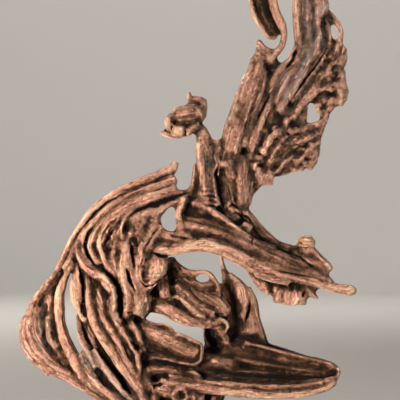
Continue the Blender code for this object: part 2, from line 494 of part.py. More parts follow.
# The cores fill the root behind its limbs, and leave its holes and slits open
CORES = {
    "mane_core": [
        (-5, 522, 4, 18, 18), (-60, 495, 0, 24, 28), (-110, 465, -4, 28, 32), (-143, 430, -4, 28, 34),
        (-158, 390, -6, 24, 34), (-142, 350, -10, 26, 36), (-136, 310, -14, 25, 38),
        (-134, 270, -16, 25, 40), (-122, 235, -18, 25, 40), (-102, 200, -18, 26, 40),
        (-82, 165, -16, 28, 40), (-64, 130, -12, 30, 40),
    ],
    "wing_core": [
        (-224, 340, 10, 10, 14), (-236, 310, 8, 14, 18), (-243, 268, 8, 20, 22), (-245, 225, 6, 30, 24),
        (-237, 190, 4, 32, 24), (-216, 162, 2, 22, 24), (-186, 138, 0, 20, 26), (-150, 115, -2, 20, 28),
        (-115, 92, -4, 24, 32), (-84, 66, -6, 30, 38),
    ],
    "almond_core": [
        (-176, 362, -8, 12, 20), (-180, 330, -10, 12, 20), (-180, 300, -12, 12, 20),
        (-174, 272, -12, 12, 20), (-160, 245, -12, 12, 22), (-146, 220, -12, 12, 24),
    ],
    "rib_core": [
        (-104, 420, -18, 16, 28), (-104, 385, -20, 18, 30), (-102, 345, -20, 18, 30),
        (-100, 300, -20, 16, 28), (-96, 262, -20, 16, 28),
    ],
    "low_core": [
        (-158, 186, -6, 9, 20), (-146, 160, -8, 14, 24), (-120, 130, -10, 17, 28),
        (-95, 105, -10, 20, 32),
    ],
    "cheek_core": [
        (-45, 446, -14, 20, 30), (-60, 420, -16, 32, 36), (-66, 380, -18, 36, 38),
        (-64, 340, -18, 38, 38), (-62, 300, -18, 30, 38), (-62, 272, -16, 24, 34),
    ],
    "bridge_core": [
        (-35, 402, -26, 14, 24), (-5, 402, -28, 13, 22), (30, 416, -26, 18, 24), (60, 424, -22, 22, 26),
    ],
    "muzzle_core": [
        (60, 440, -18, 26, 30), (100, 425, -16, 26, 32), (145, 408, -16, 33, 30), (190, 380, -16, 25, 28),
        (235, 362, -18, 22, 24), (275, 350, -18, 17, 20), (300, 340, -20, 10, 14),
    ],
    "neck_core": [
        (75, 560, 4, 20, 20), (75, 510, 0, 26, 24), (80, 470, -6, 32, 28), (92, 445, -10, 30, 28),
    ],
    "crest_core": [
        (276, 900, 12, 24, 8), (278, 850, 10, 31, 11), (283, 805, 6, 29, 14), (268, 758, 2, 36, 15),
        (232, 708, 0, 42, 17), (205, 665, -2, 41, 18), (190, 625, -2, 45, 19), (185, 585, -2, 43, 19),
        (176, 552, -2, 28, 17), (150, 515, 0, 24, 17), (145, 480, 0, 16, 17),
    ],
    "flank_core": [(326, 788, 6, 16, 10), (322, 750, 4, 26, 12), (316, 715, 2, 30, 12)],
    "fork_core": [(196, 782, 4, 14, 10), (206, 758, 4, 16, 12), (206, 730, 2, 16, 14)],
    "tail_core": [(140, 590, 0, 22, 18), (146, 550, 0, 20, 18)],
    "eye_core": [(262, 612, -2, 26, 12), (240, 640, -2, 22, 14)],
    "burl_core": [
        (284, 604, -2, 14, 10), (262, 590, -2, 24, 13), (235, 575, -2, 30, 15), (205, 562, -2, 30, 16),
    ],
    "tongue_core": [
        (5, 358, 0, 9, 12), (20, 328, 0, 18, 18), (50, 294, -4, 22, 22), (80, 275, -6, 27, 24),
        (106, 258, -2, 24, 22),
    ],
    "recess_core": [
        (78, 250, 4, 14, 16), (82, 225, 6, 16, 16), (88, 195, 4, 18, 18), (96, 165, 0, 22, 22),
    ],
    "column_core": [
        (132, 305, 18, 12, 10), (150, 275, 16, 22, 12), (158, 240, 14, 24, 14), (164, 205, 8, 26, 18),
    ],
    "jaw_core": [
        (-62, 150, -10, 32, 40), (-20, 160, -8, 38, 38), (30, 163, -6, 36, 36), (80, 163, -4, 30, 32),
        (124, 162, -2, 26, 26),
    ],
    "jaw_floor": [
        (40, 124, -14, 22, 36), (100, 132, -10, 23, 34), (160, 133, -8, 24, 30), (220, 131, -6, 22, 28),
        (270, 134, -6, 19, 22), (304, 140, -8, 14, 16), (322, 142, -12, 8, 10),
    ],
    "tongue_middle": [
        (-20, 292, -14, 14, 18), (15, 292, -14, 14, 18), (45, 275, -14, 16, 18), (80, 262, -12, 16, 18),
    ],
    "nape_core": [
        (100, 570, -2, 18, 16), (102, 520, -4, 20, 18), (104, 480, -6, 26, 22), (120, 452, -10, 30, 24),
    ],
    "jamb_core": [(38, 480, -16, 16, 18), (42, 455, -20, 18, 22), (50, 432, -22, 16, 24)],
    "fold_core": [(-84, 452, -22, 12, 24), (-92, 430, -22, 14, 26)],
    "tooth_core": [(200, 330, -26, 12, 12), (235, 320, -28, 12, 12), (265, 312, -28, 12, 12)],
    "chin_core": [
        (98, 315, -14, 12, 16), (106, 290, -12, 14, 18), (108, 250, -8, 18, 18), (110, 222, -4, 20, 20),
    ],
    "plate_core": [
        (-60, 215, -24, 16, 22), (-30, 200, -24, 22, 22), (10, 188, -24, 24, 22), (45, 182, -24, 20, 20),
    ],
    "burl_top_core": [(330, 705, 2, 16, 10), (308, 690, 0, 14, 10), (300, 676, -2, 9, 8)],
    "throat_core": [(-2, 362, -8, 10, 16), (2, 335, -10, 15, 18), (6, 305, -10, 16, 18)],
    "knob_core": [(-6, 634, -10, 8, 10), (14, 636, -12, 14, 14), (34, 640, -10, 14, 13)],
    "cheek_to_tongue": [(-62, 290, -20, 18, 24), (-30, 290, -20, 16, 22), (5, 286, -16, 18, 20)],
    "cheek_to_jaw": [
        (-88, 262, -30, 12, 24), (-80, 238, -30, 14, 26), (-66, 215, -28, 16, 26),
        (-52, 190, -24, 18, 28),
    ],
}

# The limbs that the reverse repeats
REVERSE_LIMBS = (
    (MANE, ("second_band", "third_band", "fourth_band", "long_ridge", "broad_lock")),
    (MANE, ("bar", "lobe_ridge", "low_lock_right")),
    (CHEEK, ("top_fold", "first_rib", "second_rib", "third_rib", "plate")),
    (MUZZLE, ("nose_strip", "top_ridge", "brow")),
    (NECK, ("column_ridge", "right_ridge")),
    (CREST, ("rail_left_ridge", "rail_right_ridge", "slab_left", "slab_middle", "slab_right")),
    (CREST, ("flank", "burl_2", "burl_3")),
    (JAW, ("slab_low_ridge", "slab_top_ridge", "upper_layer")),
)


def drift(across, up):
    """How far the root leans out of the drawing's plane at a place."""
    curl = max(0.0, (MANE_CURL_FROM - across) / MANE_CURL_SPAN)
    lean = max(0.0, (up - CREST_LEAN_FROM) / CREST_LEAN_SPAN)
    turn = max(0.0, (across - MUZZLE_TURN_FROM) / MUZZLE_TURN_SPAN) * (up < CREST_LEAN_FROM)
    return MANE_CURL * curl ** 2 + CREST_LEAN * lean ** 1.5 + MUZZLE_TURN * turn ** 2


def stations(path):
    """Points along a smooth curve through the path, an even distance apart."""
    points = [Vector(point) for point in path]
    ends = [2 * points[0] - points[1]] + points + [2 * points[-1] - points[-2]]
    found = []
    for before, start, end, after in zip(ends, ends[1:], ends[2:], ends[3:]):
        steps = max(2, round((end.xyz - start.xyz).length / STATION_SPACING))
        for step in range(steps):
            t = step / steps
            found.append(
                0.5 * (2 * start + (end - before) * t
                       + (2 * before - 5 * start + 4 * end - after) * t ** 2
                       + (3 * start - before - 3 * end + after) * t ** 3)
            )
    return found + [points[-1]]


def rounded_ends(points):
    """The stations with two more at each end, which close the limb with a dome."""
    dome = ((0.45, 0.88), (0.8, 0.55))
    first, last = points[0], points[-1]
    start = [grown(first, first - points[1], reach, share) for reach, share in reversed(dome)]
    end = [grown(last, last - points[-2], reach, share) for reach, share in dome]
    return start + points + end


def grown(point, way, reach, share):
    """A station past the limb's end, at a share of its size."""
    ahead = way.xyz.normalized() * min(point[3], point[4]) * reach
    return Vector((*(point.xyz + ahead), point[3] * share, point[4] * share))


def add_limb(mesh, path, scale, foot):
    """Lofts one limb into the mesh: an oval section at each station, and a cap at each end."""
    points = rounded_ends(stations(path))
    rings = []
    for index, point in enumerate(points):
        behind, ahead = points[max(0, index - 1)], points[min(len(points) - 1, index + 1)]
        along = Vector((ahead[0] - behind[0], ahead[2] - behind[2], ahead[1] - behind[1])).normalized()
        across = Vector((0.0, 1.0, 0.0)).cross(along).normalized()
        deep = along.cross(across)
        away = point[2] + drift(point[0], point[1])
        centre = Vector((point[0] - DRAWN_CENTRE, away, point[1] - DRAWN_FOOT))
        ring = []
        for side in range(LIMB_SIDES):
            angle = 2 * math.pi * side / LIMB_SIDES
            place = centre + across * point[3] * math.cos(angle) + deep * point[4] * math.sin(angle)
            ring.append(mesh.verts.new(place * scale + Vector((0.0, 0.0, foot))))
        rings.append(ring)
    for ring, following in zip(rings, rings[1:]):
        for side in range(LIMB_SIDES):
            after = (side + 1) % LIMB_SIDES
            mesh.faces.new((ring[side], ring[after], following[after], following[side]))
    mesh.faces.new(rings[0][::-1])
    mesh.faces.new(rings[-1])


def reverse_of(path):
    """The same limb on the root's far side."""
    return [
        (across, up, REVERSE_PLANE + REVERSE_RELIEF * (REVERSE_PLANE - depth), wide, deep)
        for across, up, depth, wide, deep in path
        if across < REVERSE_END
    ]


def all_limbs():
    for region in (MANE, CHEEK, MUZZLE, NECK, CREST, KNOB, TONGUE, BACK_COLUMN, JAW, ROOT, CORES):
        yield from region.values()
    for region, names in REVERSE_LIMBS:
        yield from (reverse_of(region[name]) for name in names)


def new_material(name, colour, roughness):
    material = bpy.data.materials.new(name)
    material.use_nodes = True
    shader = material.node_tree.nodes["Principled BSDF"]
    shader.inputs["Base Color"].default_value = (*colour, 1.0)
    shader.inputs["Roughness"].default_value = roughness
    shader.inputs["Metallic"].default_value = 0.0
    return material


def evaluated_copy(obj, name):
    graph = bpy.context.evaluated_depsgraph_get()
    mesh = bpy.data.meshes.new_from_object(obj.evaluated_get(graph))
    mesh.name = name
    return mesh


def make_driftwood(collection, helpers):
    """Fuses the limbs into one solid, thins its triangles and saws its foot flat."""
    scale = WOOD_HEIGHT / DRAWN_HEIGHT
    foot = BASE_THICKNESS + SEAT_GAP
    limbs = bmesh.new()
    for path in all_limbs():
        add_limb(limbs, path, scale, foot)
    bmesh.ops.recalc_face_normals(limbs, faces=limbs.faces)
    mesh = bpy.data.meshes.new("driftwood")
    limbs.to_mesh(mesh)
    limbs.free()
    wood = bpy.data.objects.new("driftwood", mesh)
    collection.objects.link(wood)

    fuse = wood.modifiers.new("fuse", "REMESH")
    fuse.mode = "VOXEL"
    fuse.voxel_size = FUSE_SHARE * WOOD_HEIGHT
    smooth = wood.modifiers.new("smooth", "SMOOTH")
    smooth.factor = 0.5
    smooth.iterations = SMOOTH_PASSES
    wood.modifiers.new("triangles", "TRIANGULATE")
    bpy.context.view_layer.update()
    fused = evaluated_copy(wood, "driftwood_fused")
    wood.modifiers.clear()
    wood.data = fused

    thin = wood.modifiers.new("thin", "DECIMATE")
    thin.ratio = WOOD_TRIANGLES / len(fused.polygons)
    thin.use_collapse_triangulate = True

    bpy.ops.mesh.primitive_cube_add(size=1.0)
    saw = bpy.context.active_object
    saw.name = "foot_saw"
    depth = 0.2 * WOOD_HEIGHT
    saw.scale = (BASE_LENGTH * 2, BASE_WIDTH * 2, depth)
    saw.location = (0.0, 0.0, foot - depth / 2)
    saw.hide_render = True
    saw.display_type = "WIRE"
    for owner in saw.users_collection:
        owner.objects.unlink(saw)
    helpers.objects.link(saw)
    cut = wood.modifiers.new("sawn_foot", "BOOLEAN")
    cut.operation = "DIFFERENCE"
    cut.object = saw
    wood.data.materials.append(new_material("driftwood", (0.30, 0.15, 0.08), 0.55))
    return wood


def make_base(collection):
    """A low oval base, turned flat above and below, with its edges rounded."""
    mesh = bpy.data.meshes.new("base")
    shape = bmesh.new()
    bmesh.ops.create_cone(
        shape, cap_ends=True, segments=BASE_SIDES, radius1=0.5, radius2=0.5, depth=1.0
    )
    for vertex in shape.verts:
        vertex.co.x *= BASE_LENGTH
        vertex.co.y *= BASE_WIDTH
        vertex.co.z = (vertex.co.z + 0.5) * BASE_THICKNESS
    shape.to_mesh(mesh)
    shape.free()
    base = bpy.data.objects.new("base", mesh)
    collection.objects.link(base)
    edge = base.modifiers.new("rounded_edge", "BEVEL")
    edge.width = BASE_EDGE_ROUND
    edge.segments = BASE_ROUND_STEPS
    edge.limit_method = "ANGLE"
    edge.angle_limit = math.radians(60)
    mesh.shade_smooth()
    mesh.materials.append(new_material("base", (0.035, 0.022, 0.016), 0.4))
    return base


def main():
    for obj in list(bpy.data.objects):
        bpy.data.objects.remove(obj)
    collection = bpy.data.collections.new("driftwood horse head")
    helpers = bpy.data.collections.new("cutters")
    bpy.context.scene.collection.children.link(collection)
    bpy.context.scene.collection.children.link(helpers)
    make_base(collection)
    make_driftwood(collection, helpers)


main()
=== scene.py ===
import math

import bpy
import numpy as np
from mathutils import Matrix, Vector
from mathutils.bvhtree import BVHTree
from mathutils.kdtree import KDTree


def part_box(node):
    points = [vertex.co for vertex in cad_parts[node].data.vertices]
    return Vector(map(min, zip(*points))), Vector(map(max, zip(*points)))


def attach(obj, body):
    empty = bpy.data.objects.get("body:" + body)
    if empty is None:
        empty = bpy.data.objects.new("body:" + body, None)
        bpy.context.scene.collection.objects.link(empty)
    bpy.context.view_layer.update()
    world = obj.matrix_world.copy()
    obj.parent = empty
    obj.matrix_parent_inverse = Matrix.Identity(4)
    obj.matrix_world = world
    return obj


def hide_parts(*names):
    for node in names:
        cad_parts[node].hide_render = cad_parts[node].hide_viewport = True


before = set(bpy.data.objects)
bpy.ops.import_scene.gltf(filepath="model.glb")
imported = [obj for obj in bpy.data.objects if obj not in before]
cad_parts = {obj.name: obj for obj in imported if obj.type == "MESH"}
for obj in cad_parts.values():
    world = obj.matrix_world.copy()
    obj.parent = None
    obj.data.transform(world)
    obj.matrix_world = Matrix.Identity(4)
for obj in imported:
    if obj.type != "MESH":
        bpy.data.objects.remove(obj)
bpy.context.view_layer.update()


class Value:
    """A node's output that takes part in plain arithmetic and makes further nodes in its tree."""

    def __init__(self, tree, socket=None):
        self.tree, self.socket = tree, socket

    def make(self, kind, inputs=(), output=0, **settings):
        node = self.tree.nodes.new(kind)
        for name, value in settings.items():
            setattr(node, name, value)
        for slot, value in dict(inputs).items():
            if isinstance(value, Value):
                self.tree.links.new(value.socket, node.inputs[slot])
            else:
                node.inputs[slot].default_value = value
        return Value(self.tree, node.outputs[output])

    def math(self, operation, *others):
        return self.make("ShaderNodeMath", enumerate((self, *others)), operation=operation)

    def __add__(self, other):
        return self.math("ADD", other)

    def __sub__(self, other):
        return self.math("SUBTRACT", other)

    def __mul__(self, other):
        return self.math("MULTIPLY", other)

    def __abs__(self):
        return self.math("ABSOLUTE")

    def step(self, low, high):
        """0 below low and 1 above high, with a smooth way between."""
        inputs = {0: self, 1: low, 2: high}
        return self.make("ShaderNodeMapRange", inputs, interpolation_type="SMOOTHSTEP")

    def vector(self, operation, other):
        return self.make("ShaderNodeVectorMath", {0: self, 1: other}, operation=operation)

    def noise(self, scale, detail=2.0, roughness=0.5):
        inputs = {"Vector": self, "Scale": scale, "Detail": detail, "Roughness": roughness}
        return self.make("ShaderNodeTexNoise", inputs)

    def colours(self, first, second):
        """From the first colour at 0 to the second at 1."""
        inputs = {"Factor": self, 6: first, 7: second}
        return self.make("ShaderNodeMix", inputs, output=2, data_type="RGBA")


# The camera stands level in front of the head, as far off as the photograph's flat
# perspective suggests, and its picture is cut off above the base and through the crest.
CAMERA_PLACE = (0.045, -5.0, 0.490)
CAMERA_LENS, CAMERA_SENSOR = 225.0, 36.0
camera = bpy.data.objects.new("camera", bpy.data.cameras.new("camera"))
camera.location = CAMERA_PLACE
camera.rotation_euler = (math.pi / 2, 0.0, 0.0)
camera.data.lens = CAMERA_LENS
camera.data.sensor_width = CAMERA_SENSOR
bpy.context.scene.collection.objects.link(camera)
bpy.context.scene.camera = camera


# The studio is a round pale floor that curves up into a pale wall behind every viewing
# angle. A warm lamp stands low at the front left, a cool soft one high at the right, weak
# ones in front and behind, and a ring of lamps that face outwards lights the wall.
FLOOR_COLOUR, FLOOR_ROUGHNESS = (0.64, 0.62, 0.59, 1.0), 0.9
FLOOR_RADIUS, FLOOR_BEND_RADIUS, WALL_TOP = 8.2, 1.4, 5.0
BEND_STEPS, FLOOR_SIDES = 24, 96
SKY_COLOUR, SKY_STRENGTH = (0.92, 0.90, 0.88, 1.0), 0.015
CHEST = (0.0, 0.0, 0.45)
# Each lamp's name, place, aim, watts, size in metres, beam in degrees and colour
LAMPS = [
    ("warm_key", (-1.9, -1.75, 0.28), CHEST, 34.0, 0.35, 100.0, (1.0, 0.87, 0.77)),
    ("cool_side", (1.6, -0.9, 2.2), CHEST, 26.0, 0.9, 180.0, (0.96, 0.97, 1.0)),
    ("front_fill", (0.1, -3.2, 1.1), CHEST, 2.0, 2.2, 180.0, (1.0, 0.95, 0.90)),
    ("back_soft", (-3.4, 5.0, 3.3), CHEST, 210.0, 1.6, 180.0, (1.0, 0.93, 0.86)),
]
WASHES, WASH_RADIUS, WASH_HEIGHT, WASH_AIM_HEIGHT = 8, 5.8, 3.6, 0.7
WASH_POWER, WASH_SHADE, WASH_SIZE, WASH_COLOUR = 84.0, 0.45, 1.4, (1.0, 0.98, 0.96)
for i in range(WASHES):
    turn = 2 * math.pi * i / WASHES
    way = Vector((math.cos(turn), math.sin(turn), 0.0))
    behind = way.y > 0.5
    power = WASH_POWER * (1.0 if behind else WASH_SHADE)
    place = way * WASH_RADIUS + Vector((0.0, 0.0, WASH_HEIGHT))
    target = way * (FLOOR_RADIUS + FLOOR_BEND_RADIUS) + Vector((0.0, 0.0, WASH_AIM_HEIGHT))
    LAMPS.append((f"wall_wash_{i + 1}", place, target, power, WASH_SIZE, 180.0, WASH_COLOUR))

profile = [(0.001, 0.0), (FLOOR_RADIUS, 0.0)]
for step in range(1, BEND_STEPS + 1):
    turn = math.pi / 2 * step / BEND_STEPS
    out = FLOOR_RADIUS + FLOOR_BEND_RADIUS * math.sin(turn)
    profile.append((out, FLOOR_BEND_RADIUS * (1 - math.cos(turn))))
profile.append((profile[-1][0], WALL_TOP))
floor_points, floor_faces = [], []
for out, up in profile:
    for i in range(FLOOR_SIDES):
        turn = 2 * math.pi * i / FLOOR_SIDES
        floor_points.append((out * math.cos(turn), out * math.sin(turn), up))
for ring in range(len(profile) - 1):
    for i in range(FLOOR_SIDES):
        one, two = ring * FLOOR_SIDES + i, ring * FLOOR_SIDES + (i + 1) % FLOOR_SIDES
        floor_faces.append((one, two, two + FLOOR_SIDES, one + FLOOR_SIDES))
floor_mesh = bpy.data.meshes.new("studio_floor")
floor_mesh.from_pydata(floor_points, [], floor_faces)
floor_mesh.shade_smooth()
floor_paint = bpy.data.materials.new("studio_floor")
floor_paint.use_nodes = True
shader = floor_paint.node_tree.nodes["Principled BSDF"]
shader.inputs["Base Color"].default_value = FLOOR_COLOUR
shader.inputs["Roughness"].default_value = FLOOR_ROUGHNESS
floor_mesh.materials.append(floor_paint)
studio_floor = bpy.data.objects.new("studio_floor", floor_mesh)
bpy.context.scene.collection.objects.link(studio_floor)

for name, place, target, power, size, beam, colour in LAMPS:
    lamp = bpy.data.objects.new(name, bpy.data.lights.new(name, "AREA"))
    lamp.data.energy, lamp.data.size, lamp.data.color = power, size, colour
    lamp.data.spread = math.radians(beam)
    lamp.location = place
    lamp.visible_camera = False
    aim = Vector(target) - lamp.location
    lamp.rotation_euler = aim.to_track_quat("-Z", "Y").to_euler()
    bpy.context.scene.collection.objects.link(lamp)

sky = bpy.data.worlds.new("studio")
sky.use_nodes = True
sky.node_tree.nodes["Background"].inputs["Color"].default_value = SKY_COLOUR
sky.node_tree.nodes["Background"].inputs["Strength"].default_value = SKY_STRENGTH
bpy.context.scene.world = sky
bpy.context.scene.view_settings.view_transform = "Standard"


# The base is a low oval of dark stained wood, a little glossy from wax, with fine straight
# grain along its length.
BASE_DARK, BASE_LIGHT = (0.010, 0.006, 0.004, 1.0), (0.040, 0.022, 0.014, 1.0)
BASE_GRAIN, BASE_GRAIN_DEPTH, BASE_ROUGHNESS = (6.0, 70.0, 90.0), 0.0006, 0.42
stain = bpy.data.materials.new("base_dark_wood")
stain.use_nodes = True
shader = stain.node_tree.nodes["Principled BSDF"]
place = Value(stain.node_tree).make("ShaderNodeTexCoord", output=3)
grain = place.vector("MULTIPLY", BASE_GRAIN).noise(1.0, 4.0, 0.6)
paint = grain.step(0.35, 0.7).colours(BASE_DARK, BASE_LIGHT)
stain.node_tree.links.new(paint.socket, shader.inputs["Base Color"])
inputs = {"Height": grain, "Strength": 0.25, "Distance": BASE_GRAIN_DEPTH}
bump = paint.make("ShaderNodeBump", inputs)
stain.node_tree.links.new(bump.socket, shader.inputs["Normal"])
shader.inputs["Roughness"].default_value = BASE_ROUGHNESS
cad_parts["base"].material_slots[0].material = stain


# The root is one weathered piece of driftwood. Its strands flow like a mane and like
# muscle, worn salmon on their backs, with painted highlights there too, silver in places,
# partly weathered grey and partly painted sheen, and painted shade, nearly black, in the cracks.
# Everything is drawn in millimetres across and up, as the photograph shows it, and SEAT is
# the height in metres at which the sawn foot meets the base.
MILLIMETRE, SEAT = 0.001, 0.0363

# The limbs, region by region. Each limb is its path from end to end, and each point is
# (across, up, depth, half width, half depth). A point that leaves out its half depth, or
# both halves, keeps those of the point before it.
MANE = {
    "outer_rim": [
        (12, 564, -8, 6, 10), (2, 550, -10, 12, 13), (-25, 537, -12, 11, 14), (-60, 524, -14, 10),
        (-95, 508, -16, 9), (-125, 491, -18), (-150, 470, -18, 10), (-170, 447, -14, 9),
        (-187, 424, -6, 7), (-201, 398, 4, 8, 16), (-213, 372, 10), (-226, 345, 12, 8, 14),
        (-240, 322, 10, 7, 12), (-252, 300, 6),
    ],
    "second_band": [
        (8, 530, -20, 9, 10), (-25, 517, -26, 9, 12), (-60, 504, -28), (-95, 490, -30),
        (-122, 472, -32), (-146, 450, -30), (-168, 425, -24, 8), (-184, 400, -14),
        (-197, 375, -6), (-210, 352, -2, 7),
    ],
    "third_band": [
        (10, 515, -26, 7, 9), (-25, 502, -36, 8, 11), (-58, 492, -38), (-88, 478, -40),
        (-112, 460, -42), (-134, 440, -42), (-150, 418, -38), (-158, 398, -36, 7),
        (-152, 378, -38), (-140, 364, -40, 6, 10),
    ],
    "fourth_band": [
        (38, 508, -20, 2, 4), (18, 505, -24, 5, 7), (-10, 497, -32, 6, 9), (-40, 487, -38, 7, 10),
        (-70, 476, -42, 6), (-95, 462, -46), (-115, 445, -50, 7, 11), (-130, 425, -52),
        (-138, 402, -50), (-132, 382, -50), (-124, 362, -48), (-114, 345, -46, 6, 10),
    ],
    "inner_rim": [
        (-40, 481, -30, 3, 6), (-62, 473, -38, 4, 8), (-80, 462, -46), (-91, 446, -52),
        (-95, 428, -54), (-93, 410, -52, 3, 7),
    ],
    "inner_lock": [
        (-100, 452, -36, 6, 9), (-116, 432, -42), (-122, 408, -44), (-118, 385, -44, 5, 8),
        (-112, 365, -42),
    ],
    "long_ridge": [
        (-186, 398, -16, 7, 12), (-178, 375, -24, 8), (-164, 355, -34, 9),
        (-145, 342, -44, 10, 13), (-124, 330, -52), (-110, 312, -58, 9), (-108, 290, -60),
        (-112, 270, -60, 8, 12), (-104, 248, -60, 7, 11), (-90, 225, -60), (-76, 203, -58, 6),
        (-65, 182, -56, 7), (-61, 160, -54, 7, 10), (-60, 142, -52, 5, 8),
    ],
    "broad_lock": [
        (-163, 340, -26, 7, 12), (-162, 312, -34, 9, 13), (-158, 282, -40, 10, 14),
        (-150, 255, -44, 12), (-136, 228, -46, 13), (-120, 202, -48), (-104, 178, -48, 12),
        (-88, 153, -48, 11), (-72, 130, -46, 10, 13), (-56, 105, -44), (-42, 78, -40, 11, 14),
    ],
    "second_lock": [
        (-136, 330, -40, 7, 11), (-138, 305, -46, 8, 12), (-134, 278, -50, 9), (-126, 252, -54),
        (-112, 228, -56), (-99, 204, -56, 8), (-88, 180, -54), (-77, 158, -52, 8, 11),
        (-64, 136, -50), (-52, 114, -46),
    ],
    "almond": [
        (-187, 350, -14, 2, 5), (-190, 330, -22, 8, 10), (-190, 308, -26, 10, 11),
        (-186, 285, -28, 9), (-178, 264, -30, 6, 10), (-170, 250, -32, 5, 9),
    ],
    "bar": [
        (-192, 364, -10, 4, 8), (-204, 347, -12, 6, 10), (-214, 325, -14, 8, 12),
        (-221, 300, -16, 9, 13), (-222, 270, -18, 10, 14), (-219, 240, -20), (-212, 213, -22, 11),
        (-201, 188, -24, 12), (-187, 163, -26), (-170, 140, -28), (-148, 121, -30),
        (-122, 105, -32), (-96, 90, -32), (-74, 70, -30, 13, 15), (-62, 48, -26, 14, 16),
    ],
    "flap": [
        (-236, 340, 2, 4, 10), (-248, 320, 2, 7, 11), (-262, 300, 2, 9, 12),
        (-273, 280, 0, 11, 13), (-281, 255, -4, 13, 14),
    ],
    "lobe": [
        (-272, 268, -6, 16, 15), (-276, 238, -10, 28, 18), (-270, 208, -12, 34),
        (-254, 182, -14, 32), (-234, 162, -16, 24, 16), (-208, 143, -18, 16, 15),
        (-180, 125, -20, 13, 14), (-152, 108, -22, 12), (-126, 92, -22), (-104, 74, -20, 13),
        (-88, 52, -18, 14, 15),
    ],
    "lobe_toe": [(-262, 172, -12, 12, 12), (-250, 152, -14, 10, 11), (-243, 142, -14, 8, 9)],
    "lobe_ridge": [
        (-245, 255, -24, 5, 7), (-243, 232, -27, 6, 8), (-240, 212, -30, 7), (-228, 198, -30, 6),
    ],
    "low_lock": [
        (-176, 184, -26, 5, 8), (-168, 162, -30, 8, 10), (-156, 140, -34, 9, 11),
        (-140, 120, -36), (-120, 103, -36), (-100, 86, -36),
    ],
    "splinter": [
        (-187, 262, -14, 1, 2), (-185, 244, -18, 3, 5), (-179, 218, -22, 6, 8),
        (-170, 197, -26, 7, 10), (-158, 178, -30), (-146, 160, -34),
    ],
    "low_lock_right": [
        (-150, 192, -32, 5, 9), (-139, 172, -36, 7, 10), (-126, 152, -40, 8, 11),
        (-111, 134, -42), (-94, 115, -42), (-77, 97, -42), (-62, 78, -40, 9, 12),
    ],
    "sunken_lock": [
        (-180, 268, -12, 4, 7), (-174, 244, -16, 9, 9), (-162, 220, -18, 9, 10),
        (-146, 198, -20, 10), (-124, 174, -22, 9), (-106, 150, -22, 8), (-88, 128, -22),
    ],
    "lock_fill": [
        (-150, 345, -28, 12, 14), (-140, 318, -36, 14, 16), (-128, 290, -42),
        (-118, 262, -46, 12, 14),
    ],
    "ridge_flat": [(-180, 385, -22, 8, 10), (-166, 362, -30, 10, 11), (-148, 350, -38, 9)],
    "ridge_corner": [
        (-140, 336, -48, 6, 11), (-122, 322, -54, 9, 12), (-110, 306, -58),
        (-113, 292, -58, 8, 11),
    ],
    "ridge_step": [(-116, 288, -58, 9, 11), (-112, 270, -60, 10), (-100, 250, -60, 8)],
    "lobe_fill": [
        (-240, 296, -4, 7, 11), (-238, 258, -10, 10, 14), (-234, 222, -14, 12, 15),
        (-222, 188, -16), (-204, 164, -18, 10, 13),
    ],
}

